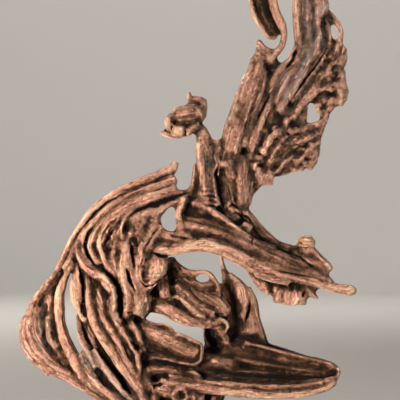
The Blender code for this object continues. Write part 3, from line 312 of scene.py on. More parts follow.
CHEEK = {
    "top_fold": [
        (-76, 436, -46, 7, 10), (-68, 452, -48, 10, 12), (-45, 460, -46, 12), (-22, 467, -42, 10),
        (-4, 480, -36, 6, 10), (15, 487, -32, 5, 9), (32, 494, -28, 7, 10),
    ],
    "first_rib": [
        (-28, 452, -46, 9, 11), (-34, 432, -52, 10, 12), (-44, 412, -56, 9), (-54, 393, -58, 8),
        (-61, 372, -60, 7, 11), (-65, 350, -60, 6), (-62, 328, -60, 6, 10), (-54, 310, -58, 7),
        (-50, 292, -56, 9),
    ],
    "bridge": [
        (35, 415, -48, 14, 14), (10, 414, -50, 13), (-12, 420, -50, 11, 13),
        (-30, 432, -48, 9, 12),
    ],
    "plate": [
        (-24, 380, -48, 21, 9), (-28, 362, -53, 24, 10), (-32, 344, -55, 22),
        (-38, 330, -57, 15, 9), (-44, 314, -57, 9),
    ],
    "sheet_low": [
        (-88, 400, -40, 16, 25), (-86, 360, -42, 18), (-80, 322, -42, 17), (-72, 285, -38, 15),
    ],
    "sheet_high": [
        (-62, 462, -32, 14, 20), (-62, 440, -36, 20, 24), (-52, 412, -40), (-48, 388, -40, 18),
    ],
    "plate_rim": [
        (-48, 380, -58, 4, 7), (-56, 358, -62), (-58, 338, -64), (-52, 321, -64), (-40, 318, -63),
        (-26, 326, -60, 3, 6),
    ],
    "second_rib": [
        (-76, 402, -50, 6, 10), (-73, 380, -54), (-76, 355, -56), (-73, 330, -58, 7, 11),
        (-66, 306, -58, 9, 12), (-62, 284, -56, 12), (-62, 268, -52, 11, 11),
    ],
    "third_rib": [
        (-93, 388, -54, 5, 9), (-96, 362, -58, 7, 11), (-94, 340, -60, 8), (-86, 318, -58, 8, 12),
        (-82, 296, -54), (-84, 274, -50, 8, 11), (-86, 258, -46, 5, 9),
    ],
    "fourth_rib": [
        (-110, 400, -48, 6, 9), (-112, 376, -52, 6, 10), (-108, 352, -52), (-104, 334, -50, 5, 9),
    ],
    "fold_end": [(-70, 440, -46, 7, 9), (-79, 420, -50, 7, 10), (-88, 402, -52, 6)],
    "fold_knot": [(-64, 450, -50, 10, 9), (-50, 450, -50)],
    "sheet_rim": [
        (-92, 462, -30, 10, 18), (-104, 440, -32, 14, 20), (-106, 412, -34, 14, 22),
        (-104, 385, -36, 12),
    ],
    "sheet_fan": [
        (-30, 440, -34, 14, 20), (-22, 418, -38, 18, 22), (10, 412, -40, 14, 20),
        (40, 412, -42, 12),
    ],
    "sheet_foot": [
        (-56, 322, -42, 16, 22), (-56, 298, -44, 19), (-58, 276, -42, 18, 20),
        (-60, 268, -40, 14, 18),
    ],
    "fan_1": [
        (-24, 444, -50, 4, 8), (-40, 426, -55, 5, 9), (-54, 404, -58), (-62, 384, -58, 4, 8),
    ],
    "fan_2": [
        (-14, 438, -52, 4, 8), (-26, 422, -56, 5, 9), (-36, 406, -58), (-40, 394, -57, 4, 8),
    ],
    "fan_fill": [(-34, 416, -46, 10, 13), (-24, 404, -48, 12, 12), (-4, 400, -50, 10, 11)],
}

# Across and foot of the muzzle's broken teeth
TEETH = ((212, 287), (230, 286), (250, 283), (264, 281))
MUZZLE = {
    "brow": [
        (-34, 391, -54, 4, 7), (-12, 389, -58, 8, 10), (14, 392, -60, 10, 12),
        (45, 400, -62, 12, 14), (80, 400, -62, 14, 15), (110, 391, -60, 15), (142, 376, -56, 17),
        (178, 360, -50, 20), (215, 349, -46), (250, 340, -42, 17, 14), (282, 330, -38, 13, 13),
        (308, 320, -36, 10, 11), (335, 314, -34, 10, 10), (358, 311, -33, 11),
        (367, 311, -33, 7, 7),
    ],
    "jamb": [
        (28, 492, -34, 8, 11), (20, 470, -40, 9, 12), (20, 448, -46), (24, 428, -52),
        (40, 412, -56, 8),
    ],
    "nose_strip": [
        (30, 440, -50, 9, 11), (60, 434, -54), (95, 425, -56), (130, 410, -54, 10, 12),
        (165, 392, -50, 11), (205, 373, -46), (245, 357, -42, 10, 11), (285, 343, -38, 8, 10),
        (305, 334, -36, 6, 9),
    ],
    "upper_strip": [
        (35, 452, -44, 6, 9), (65, 447, -50), (98, 438, -52), (130, 425, -52, 7, 10),
        (160, 408, -48, 8), (198, 388, -42, 9, 11), (235, 372, -38), (270, 358, -34, 8, 10),
        (298, 346, -32, 6, 9),
    ],
    "top_ridge": [
        (48, 482, -34, 7, 10), (74, 472, -42), (98, 457, -48, 7, 11), (122, 440, -50),
        (146, 422, -48), (172, 405, -42, 8), (205, 392, -34, 9),
    ],
    "rear_ridge": [
        (128, 478, 2, 14, 16), (148, 458, 0, 16, 18), (168, 436, -4, 15), (190, 415, -8, 14),
        (213, 396, -10, 13, 17), (236, 388, -12, 14, 16), (260, 382, -14, 13, 15),
        (284, 372, -16, 12, 14), (304, 360, -18, 11, 12), (316, 350, -18, 8, 9),
    ],
    "bump": [(146, 438, -38, 10, 10), (158, 431, -38, 11)],
    "knob": [(259, 404, -22, 12, 12), (272, 404, -24, 14, 14), (284, 403, -22, 10, 12)],
    "knob_lip": [(258, 391, -28, 4, 6), (272, 388, -30, 5, 7), (286, 391, -28, 4, 6)],
    "upper_spur": [
        (286, 386, -24, 8, 10), (300, 371, -26), (313, 358, -26, 9), (321, 350, -24, 5, 8),
    ],
    "tip_root": [(285, 350, -30, 10, 10), (304, 338, -30, 9), (318, 326, -32, 7, 9)],
    **{
        f"tooth_{i}": [(x, 320, -35, 8, 7), (x + 1, 302, -36, 8, 8), (x, foot, -36, 8, 6)]
        for i, (x, foot) in enumerate(TEETH, 1)
    },
    "barb": [(272, 316, -36, 8, 8), (284, 302, -36, 6, 7), (296, 293, -36, 3, 4)],
    "fin": [
        (160, 356, -32, 10, 9), (176, 336, -32, 15), (189, 317, -30, 13, 8),
        (197, 301, -30, 5, 5),
    ],
    "lower_edge": [(170, 340, -54, 3, 5), (200, 331, -52), (235, 323, -50)],
    "brow_fill": [(22, 430, -42, 16, 16), (60, 420, -46), (100, 412, -48, 14, 14)],
    "bridge_sheet": [
        (46, 498, -16, 16, 16), (48, 474, -24, 20), (60, 452, -32), (90, 440, -36, 16, 14),
    ],
    "middle_sheet": [
        (120, 415, -38, 20, 16), (160, 394, -36, 22), (205, 374, -32, 20),
        (250, 356, -28, 18, 15),
    ],
    "teeth_plate": [
        (213, 301, -38, 16, 7), (232, 299, -39, 18, 8), (252, 297, -40), (262, 294, -39, 15, 7),
    ],
    "spur_sheet": [
        (252, 384, -22, 12, 11), (272, 370, -26, 16, 12), (292, 356, -28),
        (308, 346, -27, 12, 11),
    ],
    "knob_top": [(262, 414, -22, 5, 8), (272, 415, -22, 5, 9), (282, 413, -22, 5, 8)],
}

NECK = {
    "column": [
        (64, 634, -8, 8, 9), (68, 606, -10, 17, 15), (72, 575, -12, 20, 17),
        (74, 545, -14, 20, 18), (72, 515, -18, 22, 20), (70, 488, -22, 26, 22), (70, 462, -26),
    ],
    "column_ridge": [
        (60, 600, -20, 7, 8), (62, 570, -24, 8, 9), (66, 540, -28, 9, 10), (70, 510, -32, 10),
        (74, 485, -36, 9),
    ],
    "left_flare": [
        (50, 560, -10, 5, 9), (50, 535, -14, 7, 10), (45, 512, -18, 8, 11), (36, 490, -24, 9),
        (30, 465, -30, 9, 12),
    ],
    "right_ridge": [
        (94, 606, -10, 8, 10), (96, 586, -16, 11, 11), (93, 560, -22, 9, 10), (90, 530, -26, 7),
        (92, 505, -30), (94, 480, -34),
    ],
}

CREST = {
    "rail": [
        (178, 808, 0, 7, 9), (183, 782, -2, 15, 13), (174, 742, -4, 24, 16),
        (160, 702, -6, 27, 17), (146, 662, -8, 28, 18), (132, 622, -10, 27), (122, 585, -10, 24),
        (120, 550, -10, 20, 17), (124, 515, -8, 19, 16), (130, 485, -6, 18, 15),
        (138, 462, -6, 14, 14),
    ],
    "rail_left_ridge": [
        (165, 775, -11, 4, 6), (158, 740, -15, 6, 7), (146, 700, -17, 7, 8), (134, 662, -19),
        (120, 625, -19), (112, 595, -17),
    ],
    "rail_right_ridge": [
        (190, 745, -10, 6, 7), (182, 705, -14, 7, 8), (170, 665, -16), (158, 630, -18, 8),
        (148, 598, -18),
    ],
    "tail_edge": [
        (165, 575, -6, 12, 12), (160, 545, -6, 14, 14), (158, 515, -6, 12), (154, 490, -4, 9, 12),
        (150, 474, -2, 6, 9),
    ],
    "tail_ridge": [
        (140, 560, -18, 8, 9), (138, 530, -20), (140, 505, -18, 7, 8), (142, 484, -16, 6),
    ],
    "horn_rim": [
        (196, 932, -2, 5, 7), (206, 895, -4, 9, 10), (214, 866, -6, 10), (225, 840, -8, 9),
        (229, 818, -8, 7, 9), (224, 798, -8), (212, 785, -8, 8, 10), (199, 772, -8, 12, 12),
    ],
    "horn_web": [
        (180, 922, 8, 10, 5), (182, 892, 8, 18, 6), (190, 862, 8), (200, 838, 6, 14),
        (210, 816, 4, 8, 5),
    ],
    "horn_left_rim": [
        (166, 915, 4, 4, 6), (163, 890, 3, 5), (169, 866, 2), (178, 845, 2), (190, 829, 2, 4, 5),
        (200, 815, 0),
    ],
    "saddle": [(178, 806, -6, 5, 7), (190, 792, -8, 7, 8), (206, 786, -8), (220, 787, -8, 6)],
    "slab_left": [
        (256, 925, 6, 8, 9), (256, 892, 4, 10, 10), (256, 858, 2, 10, 11), (258, 825, 0),
        (259, 797, -4, 11, 12), (244, 770, -8), (226, 750, -10, 12), (209, 728, -12, 9, 11),
        (203, 704, -14, 7, 10),
    ],
    "slab_middle": [
        (276, 935, 8, 8, 9), (275, 895, 4, 11, 11), (275, 858, 0, 11, 12), (277, 822, -4),
        (270, 790, -8), (255, 760, -12, 12), (238, 733, -16), (224, 708, -18, 10),
        (214, 684, -18, 8, 10),
    ],
    "slab_right": [
        (296, 925, 8, 9, 9), (295, 890, 4, 11, 11), (296, 856, -2, 10, 12), (300, 820, -8, 9),
        (293, 790, -12), (277, 764, -14), (262, 738, -18, 10), (247, 712, -20),
        (232, 690, -20, 9, 11), (220, 668, -18, 8, 10),
    ],
    "top_knob": [(300, 896, -6, 12, 12), (306, 878, -10, 15, 13), (302, 862, -8, 11, 11)],
    "thin_bar": [
        (316, 870, 0, 6, 8), (332, 852, 0, 6, 7), (343, 834, -2, 5), (343, 815, -4),
        (336, 795, -6, 8, 9), (322, 774, -8, 10, 10),
    ],
    "slit_strip": [
        (308, 860, -2, 7, 8), (318, 838, -4, 5, 7), (321, 816, -6, 5, 8), (316, 796, -8, 7, 9),
        (304, 776, -8, 8),
    ],
    "flank": [
        (346, 792, 0, 11, 11), (340, 770, -2, 16, 12), (322, 750, -6, 18), (302, 728, -10, 17),
        (282, 706, -12, 14), (264, 688, -14, 11, 11), (250, 670, -14, 9, 10), (240, 650, -14, 8),
    ],
    "flank_ridge": [
        (345, 712, -4, 11, 11), (325, 716, -8, 12), (300, 710, -14, 10, 10),
        (278, 692, -18, 8, 9), (258, 672, -20, 7), (245, 652, -20),
    ],
    "burl_lobe": [
        (340, 745, 0, 13, 12), (342, 722, -2, 14, 13), (342, 700, -4, 15), (336, 686, -4, 13, 12),
    ],
    "eye_top": [(276, 692, -10, 9, 8), (300, 694, -8, 11, 9), (322, 684, -6, 13, 10)],
    "eye_right": [
        (330, 688, -4, 12, 10), (317, 671, -6, 9, 9), (307, 650, -6), (299, 630, -8, 10),
        (294, 610, -10, 9), (290, 588, -10), (284, 565, -10),
    ],
    "eye_drop": [(300, 684, -8, 8, 6), (296, 672, -10, 7), (298, 665, -10, 5, 5)],
    "eye_bottom": [(258, 624, -16, 14, 9), (278, 632, -14, 10, 8), (298, 642, -12, 7, 7)],
    "eye_left": [(264, 688, -14, 12, 9), (261, 667, -12, 14), (258, 642, -14)],
    "burl_1": [
        (302, 624, -14, 5, 6), (278, 614, -19, 5, 7), (252, 604, -21, 6), (228, 600, -20, 5, 6),
    ],
    "burl_2": [
        (299, 606, -14, 5, 6), (280, 592, -19, 6, 7), (263, 574, -19), (250, 562, -16, 5, 6),
    ],
    "burl_3": [(293, 586, -13, 6, 7), (280, 574, -16, 5), (268, 562, -14, 5, 6)],
    "burl_4": [(244, 578, -18, 6, 7), (228, 562, -16), (212, 546, -14, 7, 8)],
    "burl_toe_1": [(248, 554, -10, 5, 6), (246, 545, -10, 4, 5)],
    "burl_toe_2": [(264, 556, -10, 5, 6), (262, 547, -10, 4, 5)],
    "burl_toe_3": [(283, 556, -10, 5, 6), (279, 549, -10, 4, 5)],
    "burl_heel": [(200, 542, -12, 12, 12), (190, 530, -10, 10, 11), (206, 526, -8, 6, 7)],
    "burl_lumps": [
        (222, 628, -20, 8, 8), (206, 616, -22, 9, 9), (196, 600, -22), (186, 584, -22, 8, 8),
    ],
    "burl_inner": [(172, 560, -18, 9, 10), (180, 540, -16, 10), (186, 526, -12, 8, 9)],
    "burl_mass_1": [
        (284, 622, -6, 13, 13), (255, 608, -10, 20, 15), (225, 590, -10, 22),
        (198, 560, -8, 17, 13),
    ],
    "burl_mass_2": [(282, 596, -6, 15, 13), (262, 580, -8, 18, 14), (238, 562, -6, 14, 13)],
    "burl_5": [(252, 630, -20, 6, 7), (232, 618, -22), (212, 590, -22), (200, 566, -18)],
    "slab_sheet": [
        (276, 915, 4, 22, 9), (276, 860, 0, 24, 10), (278, 812, -4, 22, 11),
        (256, 762, -10, 24, 12), (230, 722, -14, 20), (218, 690, -14, 14, 11),
    ],
    "rail_knot": [(134, 676, -22, 7, 7), (128, 655, -24), (126, 642, -22, 5, 6)],
    "flank_fill": [
        (314, 796, -4, 8, 11), (300, 766, -8, 11, 13), (281, 740, -10, 12), (262, 714, -13),
        (246, 690, -14, 10, 12),
    ],
    "rail_fill": [
        (208, 704, -10, 8, 11), (192, 668, -12, 10, 12), (178, 634, -14, 12, 13), (166, 602, -14),
        (160, 575, -12, 10, 12),
    ],
    "eye_fill": [(242, 668, -12, 12, 11), (236, 648, -13, 13, 12), (230, 632, -14, 12)],
    "rail_sheet": [
        (180, 770, -4, 13, 14), (170, 735, -6, 22, 17), (156, 695, -8, 25, 18),
        (142, 655, -10, 26, 19), (130, 620, -12, 25), (124, 590, -12, 22, 18),
    ],
    "tail_fill": [
        (146, 572, -12, 12, 12), (148, 540, -12, 13, 14), (148, 510, -12, 12, 13),
        (146, 488, -10, 10, 12),
    ],
}

KNOB = {
    "head": [
        (4, 652, -12, 13, 13), (20, 656, -14, 21, 17), (40, 660, -14), (56, 661, -12, 18, 15),
        (64, 653, -10, 9, 11),
    ],
    "crown": [(58, 655, -10, 12, 12), (63, 676, -8, 11, 11), (66, 689, -6, 8, 8)],
    "ear": [(44, 682, -8, 8, 8), (39, 697, -6, 5, 6), (38, 706, -5, 3, 4)],
    "saddle": [(50, 688, -8, 7, 7), (62, 690, -8)],
    "lip": [
        (-20, 626, -10, 3, 4), (-8, 620, -14, 4, 6), (10, 618, -16, 5, 7), (28, 619, -16, 5, 6),
        (38, 622, -14),
    ],
    "chin": [(8, 630, -23, 10, 11), (22, 627, -24, 11)],
    "cheek": [(34, 622, -19, 6, 8), (44, 632, -18, 7, 9), (56, 642, -16, 6, 8)],
    "throat": [(40, 634, -12, 9, 9), (54, 636, -10, 10, 10), (66, 628, -8)],
    "left_lobe": [(-2, 654, -20, 8, 9), (-3, 642, -23, 9, 11), (0, 632, -20, 7, 9)],
    "jaw_fill": [(-4, 630, -12, 6, 8), (14, 634, -12, 14, 11), (34, 636, -12)],
    "back_block": [(50, 690, -8, 9, 9), (62, 682, -8, 13, 11), (64, 662, -9, 11, 12)],
    "crown_streak": [(8, 668, -22, 4, 6), (26, 674, -24), (46, 674, -22)],
}

TONGUE = {
    "upper": [
        (2, 374, -18, 8, 8), (10, 352, -20, 14, 10), (28, 328, -22, 17, 11),
        (52, 306, -26, 19, 12), (78, 291, -28, 20, 13), (98, 278, -28, 18),
        (112, 268, -24, 12, 11),
    ],
    "rim": [
        (12, 360, -22, 8, 8), (32, 346, -26), (50, 344, -28, 7, 6), (66, 348, -30, 4),
        (80, 342, -30, 6), (88, 329, -30, 7), (97, 317, -30, 6, 7),
    ],
    "root": [
        (-2, 368, -22, 8, 10), (-12, 345, -26, 12, 12), (-14, 322, -28, 16), (-12, 300, -28),
    ],
    "rim_inside": [(36, 334, -24, 8, 8), (50, 326, -26, 6), (64, 319, -28, 7), (82, 322, -28, 8)],
    "rim_foot": [(58, 314, -24, 6, 7), (80, 314, -26, 7, 8), (98, 310, -28, 8, 9)],
    "ridge": [
        (10, 301, -34, 3, 5), (24, 291, -38, 4, 6), (40, 276, -42), (56, 264, -44),
        (70, 259, -42, 3, 5),
    ],
    "lower": [
        (-40, 279, -30, 13, 10), (-14, 276, -32, 14, 11), (12, 264, -34, 15), (40, 252, -36, 14),
        (66, 250, -36, 11, 10), (92, 246, -34, 10), (106, 243, -32, 7, 8),
    ],
    "lower_edge": [(10, 258, -38, 4, 6), (30, 248, -40), (55, 241, -40), (80, 239, -38)],
    "curl": [(98, 252, -40, 4, 5), (110, 248, -42, 4, 6), (115, 239, -42), (110, 229, -40, 3, 5)],
    "drip_1": [(70, 240, -22, 5, 6), (72, 224, -18), (78, 200, -14)],
    "drip_2": [(92, 240, -24, 5, 6), (90, 220, -20), (94, 198, -16)],
    "ridge_fill": [
        (14, 318, -24, 9, 12), (42, 294, -30, 10, 13), (66, 276, -33), (86, 264, -33, 9, 12),
    ],
    "curl_back": [
        (84, 242, -28, 8, 9), (98, 236, -30, 10, 10), (108, 220, -24, 9), (114, 206, -18, 8),
    ],
}

BACK_COLUMN = {
    "blade": [
        (98, 414, -12, 5, 8), (101, 390, 6, 3, 6), (106, 356, 12, 5, 7), (115, 330, 14, 11, 10),
        (125, 300, 16, 18, 12), (131, 270, 16, 20, 13), (137, 242, 14, 24, 14),
        (142, 215, 10, 28, 15), (148, 190, 6, 30, 16),
    ],
    "right_strand": [
        (157, 313, 6, 6, 8), (167, 284, 4, 9, 9), (172, 252, 4, 9, 10), (178, 228, 4, 11, 11),
        (184, 206, 4, 12, 12),
    ],
    "left_ridge": [
        (112, 330, 0, 4, 6), (120, 295, -4, 5, 7), (124, 265, -5), (128, 240, -5, 6, 8),
    ],
    "middle_ridge": [
        (138, 318, 0, 5, 6), (144, 285, -3, 6, 7), (146, 255, -4, 6, 8), (150, 230, -5, 7),
    ],
    "column_sheet": [
        (118, 338, 2, 9, 9), (132, 314, 2, 20, 11), (142, 286, 2, 24, 12), (146, 256, 2, 28, 13),
        (150, 226, 0, 34, 14),
    ],
}

JAW = {
    "broken_plate": [
        (-66, 240, -36, 9, 9), (-40, 226, -38, 16, 10), (-8, 212, -40, 21, 11),
        (24, 197, -42, 23), (48, 188, -42, 21),
    ],
    "plate_edge": [
        (16, 224, -44, 4, 7), (42, 213, -46), (61, 203, -46, 4, 8), (63, 188, -46),
        (60, 172, -46, 4, 7), (44, 165, -46), (18, 167, -44),
    ],
    "plate_root": [
        (-78, 252, -44, 5, 8), (-70, 238, -48, 6, 9), (-62, 224, -48, 5, 8), (-56, 208, -46),
    ],
    "plate_top": [(-52, 250, -34, 4, 6), (-30, 242, -36), (-8, 240, -38, 5), (6, 230, -40, 4)],
    "slab": [
        (100, 196, -2, 24, 20), (145, 190, 0, 30, 22), (190, 178, 2, 27), (230, 170, 2, 22, 20),
        (270, 163, 0, 18, 18), (303, 159, -4, 15, 15), (325, 154, -8, 11, 12),
        (333, 152, -10, 6, 8),
    ],
    "slab_top_ridge": [
        (150, 205, -18, 5, 7), (190, 195, -18), (235, 182, -16), (280, 172, -14, 4, 6),
        (320, 163, -14, 3, 5),
    ],
    "slab_low_ridge": [
        (130, 175, -20, 5, 6), (200, 162, -22), (270, 152, -20, 4), (310, 146, -18),
    ],
    "slab_bump": [(204, 173, -20, 4, 5), (225, 172, -20, 6, 6), (242, 168, -18, 4, 5)],
    "tip": [
        (334, 156, -14, 4, 7), (335, 147, -18, 4, 8), (328, 136, -26, 5, 9),
        (325, 125, -34, 5, 8),
    ],
    "trough": [
        (70, 152, -16, 7, 8), (120, 142, -18), (170, 136, -20), (220, 130, -24), (262, 127, -30),
        (298, 130, -36, 6), (324, 136, -34, 5),
    ],
    "lip": [
        (-15, 126, -50, 11, 12), (35, 121, -54), (85, 115, -56, 10), (135, 110, -56),
        (185, 106, -54, 9), (232, 105, -52, 8), (276, 110, -48, 8, 11), (308, 118, -44, 7, 10),
        (326, 128, -38, 6, 9),
    ],
    "lip_edge": [
        (0, 140, -48, 6, 8), (45, 133, -50, 5), (95, 128, -52), (150, 122, -52),
        (205, 119, -50, 5, 7), (255, 120, -46), (300, 128, -42, 4),
    ],
    "upper_layer": [
        (-52, 178, -40, 8, 9), (-20, 178, -40), (20, 167, -40, 7, 8), (56, 156, -36, 6, 7),
        (90, 150, -30, 5),
    ],
    "lower_layer": [
        (-48, 152, -44, 8, 9), (-5, 152, -44), (38, 143, -42, 7, 8), (62, 138, -40, 4, 6),
    ],
    "corner": [(-60, 190, -52, 6, 8), (-62, 170, -54), (-60, 152, -54, 5, 7)],
    "chip": [(34, 147, -46, 4, 5), (48, 147, -48), (60, 139, -48, 3, 3)],
    "corner_fill": [(-56, 156, -36, 12, 14), (-50, 136, -42, 13), (-38, 118, -44, 12, 13)],
    "slab_sheet": [
        (110, 190, -8, 20, 16), (150, 184, -8, 22, 17), (200, 176, -8, 18),
        (250, 166, -8, 14, 16), (295, 159, -8, 11, 14),
    ],
}

ROOT = {
    "front_swell": [
        (-30, 118, -48, 12, 12), (0, 110, -52, 13), (32, 104, -54), (62, 98, -50, 12),
    ],
    "knot": [
        (6, 104, -62, 4, 5), (14, 115, -63), (28, 114, -64), (34, 103, -64), (27, 93, -64),
        (13, 93, -63), (6, 103, -62),
    ],
    "knot_side": [(47, 108, -58, 5, 7), (47, 94, -60, 6, 8), (45, 80, -58)],
    "left_trunk": [
        (-62, 98, -14, 34, 36), (-50, 66, -10, 38, 40), (-44, 36, -8, 44, 46),
        (-44, 14, -8, 46, 48),
    ],
    "middle_trunk": [
        (20, 104, -14, 50, 36), (18, 66, -8, 46, 42), (20, 36, -4, 52, 50), (20, 14, -4, 54, 52),
    ],
    "right_trunk": [
        (84, 108, -10, 26, 30), (76, 70, -6, 26, 34), (74, 36, -4, 34, 38), (74, 14, -4, 36, 40),
    ],
    "toe_1": [
        (-104, 92, -26, 10, 12), (-90, 64, -36, 14, 16), (-93, 40, -46, 18, 20),
        (-97, 12, -52, 21, 23),
    ],
    "toe_2": [
        (-30, 98, -46, 10, 12), (-28, 66, -50, 14, 15), (-36, 40, -62, 18, 20),
        (-42, 12, -72, 22, 24),
    ],
    "toe_3": [
        (30, 94, -48, 10, 12), (34, 64, -52, 13, 14), (42, 40, -60, 17, 18),
        (50, 12, -70, 22, 22),
    ],
    "toe_4": [
        (86, 100, -32, 9, 11), (92, 68, -40, 13, 14), (108, 42, -50, 18, 18),
        (122, 12, -58, 24, 22),
    ],
    "toe_5": [
        (-94, 88, 18, 12, 13), (-86, 60, 32, 15, 17), (-91, 38, 44, 18, 20),
        (-96, 12, 52, 21, 23),
    ],
    "toe_6": [
        (-20, 94, 28, 14, 14), (-18, 62, 42, 16, 16), (-24, 38, 56, 20, 20),
        (-30, 12, 68, 24, 24),
    ],
    "toe_7": [
        (48, 98, 26, 13, 14), (54, 64, 40, 15, 16), (70, 38, 54, 20, 20), (84, 12, 64, 25, 24),
    ],
}

# The cores fill the root behind its limbs, and leave its holes and slits open
CORES = {
    "mane_core": [
        (-5, 522, 4, 18, 18), (-60, 495, 0, 24, 28), (-110, 465, -4, 28, 32),
        (-143, 430, -4, 28, 34), (-158, 390, -6, 24), (-142, 350, -10, 26, 36),
        (-136, 310, -14, 25, 38), (-134, 270, -16, 25, 40), (-122, 235, -18),
        (-102, 200, -18, 26), (-82, 165, -16, 28), (-64, 130, -12, 30),
    ],
    "wing_core": [
        (-224, 340, 10, 10, 14), (-236, 310, 8, 14, 18), (-243, 268, 8, 20, 22),
        (-245, 225, 6, 30, 24), (-237, 190, 4, 32), (-216, 162, 2, 22), (-186, 138, 0, 20, 26),
        (-150, 115, -2, 20, 28), (-115, 92, -4, 24, 32), (-84, 66, -6, 30, 38),
    ],
    "almond_core": [
        (-176, 362, -8, 12, 20), (-180, 330, -10), (-180, 300, -12), (-174, 272, -12),
        (-160, 245, -12, 12, 22), (-146, 220, -12, 12, 24),
    ],
    "rib_core": [
        (-104, 420, -18, 16, 28), (-104, 385, -20, 18, 30), (-102, 345, -20),
        (-100, 300, -20, 16, 28), (-96, 262, -20),
    ],
    "low_core": [
        (-158, 186, -6, 9, 20), (-146, 160, -8, 14, 24), (-120, 130, -10, 17, 28),
        (-95, 105, -10, 20, 32),
    ],
    "cheek_core": [
        (-45, 446, -14, 20, 30), (-60, 420, -16, 32, 36), (-66, 380, -18, 36, 38),
        (-64, 340, -18, 38), (-62, 300, -18, 30), (-62, 272, -16, 24, 34),
    ],
    "bridge_core": [
        (-35, 402, -26, 14, 24), (-5, 402, -28, 13, 22), (30, 416, -26, 18, 24),
        (60, 424, -22, 22, 26),
    ],
    "muzzle_core": [
        (60, 440, -18, 26, 30), (100, 425, -16, 26, 32), (145, 408, -16, 33, 30),
        (190, 380, -16, 25, 28), (235, 362, -18, 22, 24), (275, 350, -18, 17, 20),
        (300, 340, -20, 10, 14),
    ],
    "neck_core": [
        (75, 560, 4, 20, 20), (75, 510, 0, 26, 24), (80, 470, -6, 32, 28), (92, 445, -10, 30),
    ],
    "crest_core": [
        (276, 900, 12, 24, 8), (278, 850, 10, 31, 11), (283, 805, 6, 29, 14),
        (268, 758, 2, 36, 15), (232, 708, 0, 42, 17), (205, 665, -2, 41, 18),
        (190, 625, -2, 45, 19), (185, 585, -2, 43), (176, 552, -2, 28, 17), (150, 515, 0, 24),
        (145, 480, 0, 16),
    ],
    "flank_core": [(326, 788, 6, 16, 10), (322, 750, 4, 26, 12), (316, 715, 2, 30)],
    "fork_core": [(196, 782, 4, 14, 10), (206, 758, 4, 16, 12), (206, 730, 2, 16, 14)],
    "tail_core": [(140, 590, 0, 22, 18), (146, 550, 0, 20)],
    "eye_core": [(262, 612, -2, 26, 12), (240, 640, -2, 22, 14)],
    "burl_core": [
        (284, 604, -2, 14, 10), (262, 590, -2, 24, 13), (235, 575, -2, 30, 15),
        (205, 562, -2, 30, 16),
    ],
    "tongue_core": [
        (5, 358, 0, 9, 12), (20, 328, 0, 18, 18), (50, 294, -4, 22, 22), (80, 275, -6, 27, 24),
        (106, 258, -2, 24, 22),
    ],
    "recess_core": [
        (78, 250, 4, 14, 16), (82, 225, 6, 16), (88, 195, 4, 18, 18), (96, 165, 0, 22, 22),
    ],
    "column_core": [
        (132, 305, 18, 12, 10), (150, 275, 16, 22, 12), (158, 240, 14, 24, 14),
        (164, 205, 8, 26, 18),
    ],
    "jaw_core": [
        (-62, 150, -10, 32, 40), (-20, 160, -8, 38, 38), (30, 163, -6, 36, 36),
        (80, 163, -4, 30, 32), (124, 162, -2, 26, 26),
    ],
    "jaw_floor": [
        (40, 124, -14, 22, 36), (100, 132, -10, 23, 34), (160, 133, -8, 24, 30),
        (220, 131, -6, 22, 28), (270, 134, -6, 19, 22), (304, 140, -8, 14, 16),
        (322, 142, -12, 8, 10),
    ],
    "tongue_middle": [
        (-20, 292, -14, 14, 18), (15, 292, -14), (45, 275, -14, 16), (80, 262, -12),
    ],
    "nape_core": [
        (100, 570, -2, 18, 16), (102, 520, -4, 20, 18), (104, 480, -6, 26, 22),
        (120, 452, -10, 30, 24),
    ],
    "jamb_core": [(38, 480, -16, 16, 18), (42, 455, -20, 18, 22), (50, 432, -22, 16, 24)],
    "fold_core": [(-84, 452, -22, 12, 24), (-92, 430, -22, 14, 26)],
    "tooth_core": [(200, 330, -26, 12, 12), (235, 320, -28), (265, 312, -28)],
    "chin_core": [
        (98, 315, -14, 12, 16), (106, 290, -12, 14, 18), (108, 250, -8, 18),
        (110, 222, -4, 20, 20),
    ],
    "plate_core": [
        (-60, 215, -24, 16, 22), (-30, 200, -24, 22), (10, 188, -24, 24), (45, 182, -24, 20, 20),
    ],
    "burl_top_core": [(330, 705, 2, 16, 10), (308, 690, 0, 14), (300, 676, -2, 9, 8)],
    "throat_core": [(-2, 362, -8, 10, 16), (2, 335, -10, 15, 18), (6, 305, -10, 16)],
    "knob_core": [(-6, 634, -10, 8, 10), (14, 636, -12, 14, 14), (34, 640, -10, 14, 13)],
    "cheek_to_tongue": [(-62, 290, -20, 18, 24), (-30, 290, -20, 16, 22), (5, 286, -16, 18, 20)],
    "cheek_to_jaw": [
        (-88, 262, -30, 12, 24), (-80, 238, -30, 14, 26), (-66, 215, -28, 16),
        (-52, 190, -24, 18, 28),
    ],
}

REGIONS = {
    "mane": MANE, "cheek": CHEEK, "muzzle": MUZZLE, "neck": NECK, "crest": CREST, "knob": KNOB,
    "tongue": TONGUE, "back": BACK_COLUMN, "jaw": JAW, "root": ROOT, "core": CORES,
}
# Limbs that the reverse side repeats, plainer
REVERSED = {
    "second_band", "third_band", "fourth_band", "long_ridge", "broad_lock", "bar", "lobe_ridge",
    "low_lock_right", "top_fold", "first_rib", "second_rib", "third_rib", "plate", "nose_strip",
    "top_ridge", "brow", "column_ridge", "right_ridge", "rail_left_ridge", "rail_right_ridge",
    "slab_left", "slab_middle", "slab_right", "flank", "burl_2", "burl_3", "slab_low_ridge",
    "slab_top_ridge", "upper_layer",
}
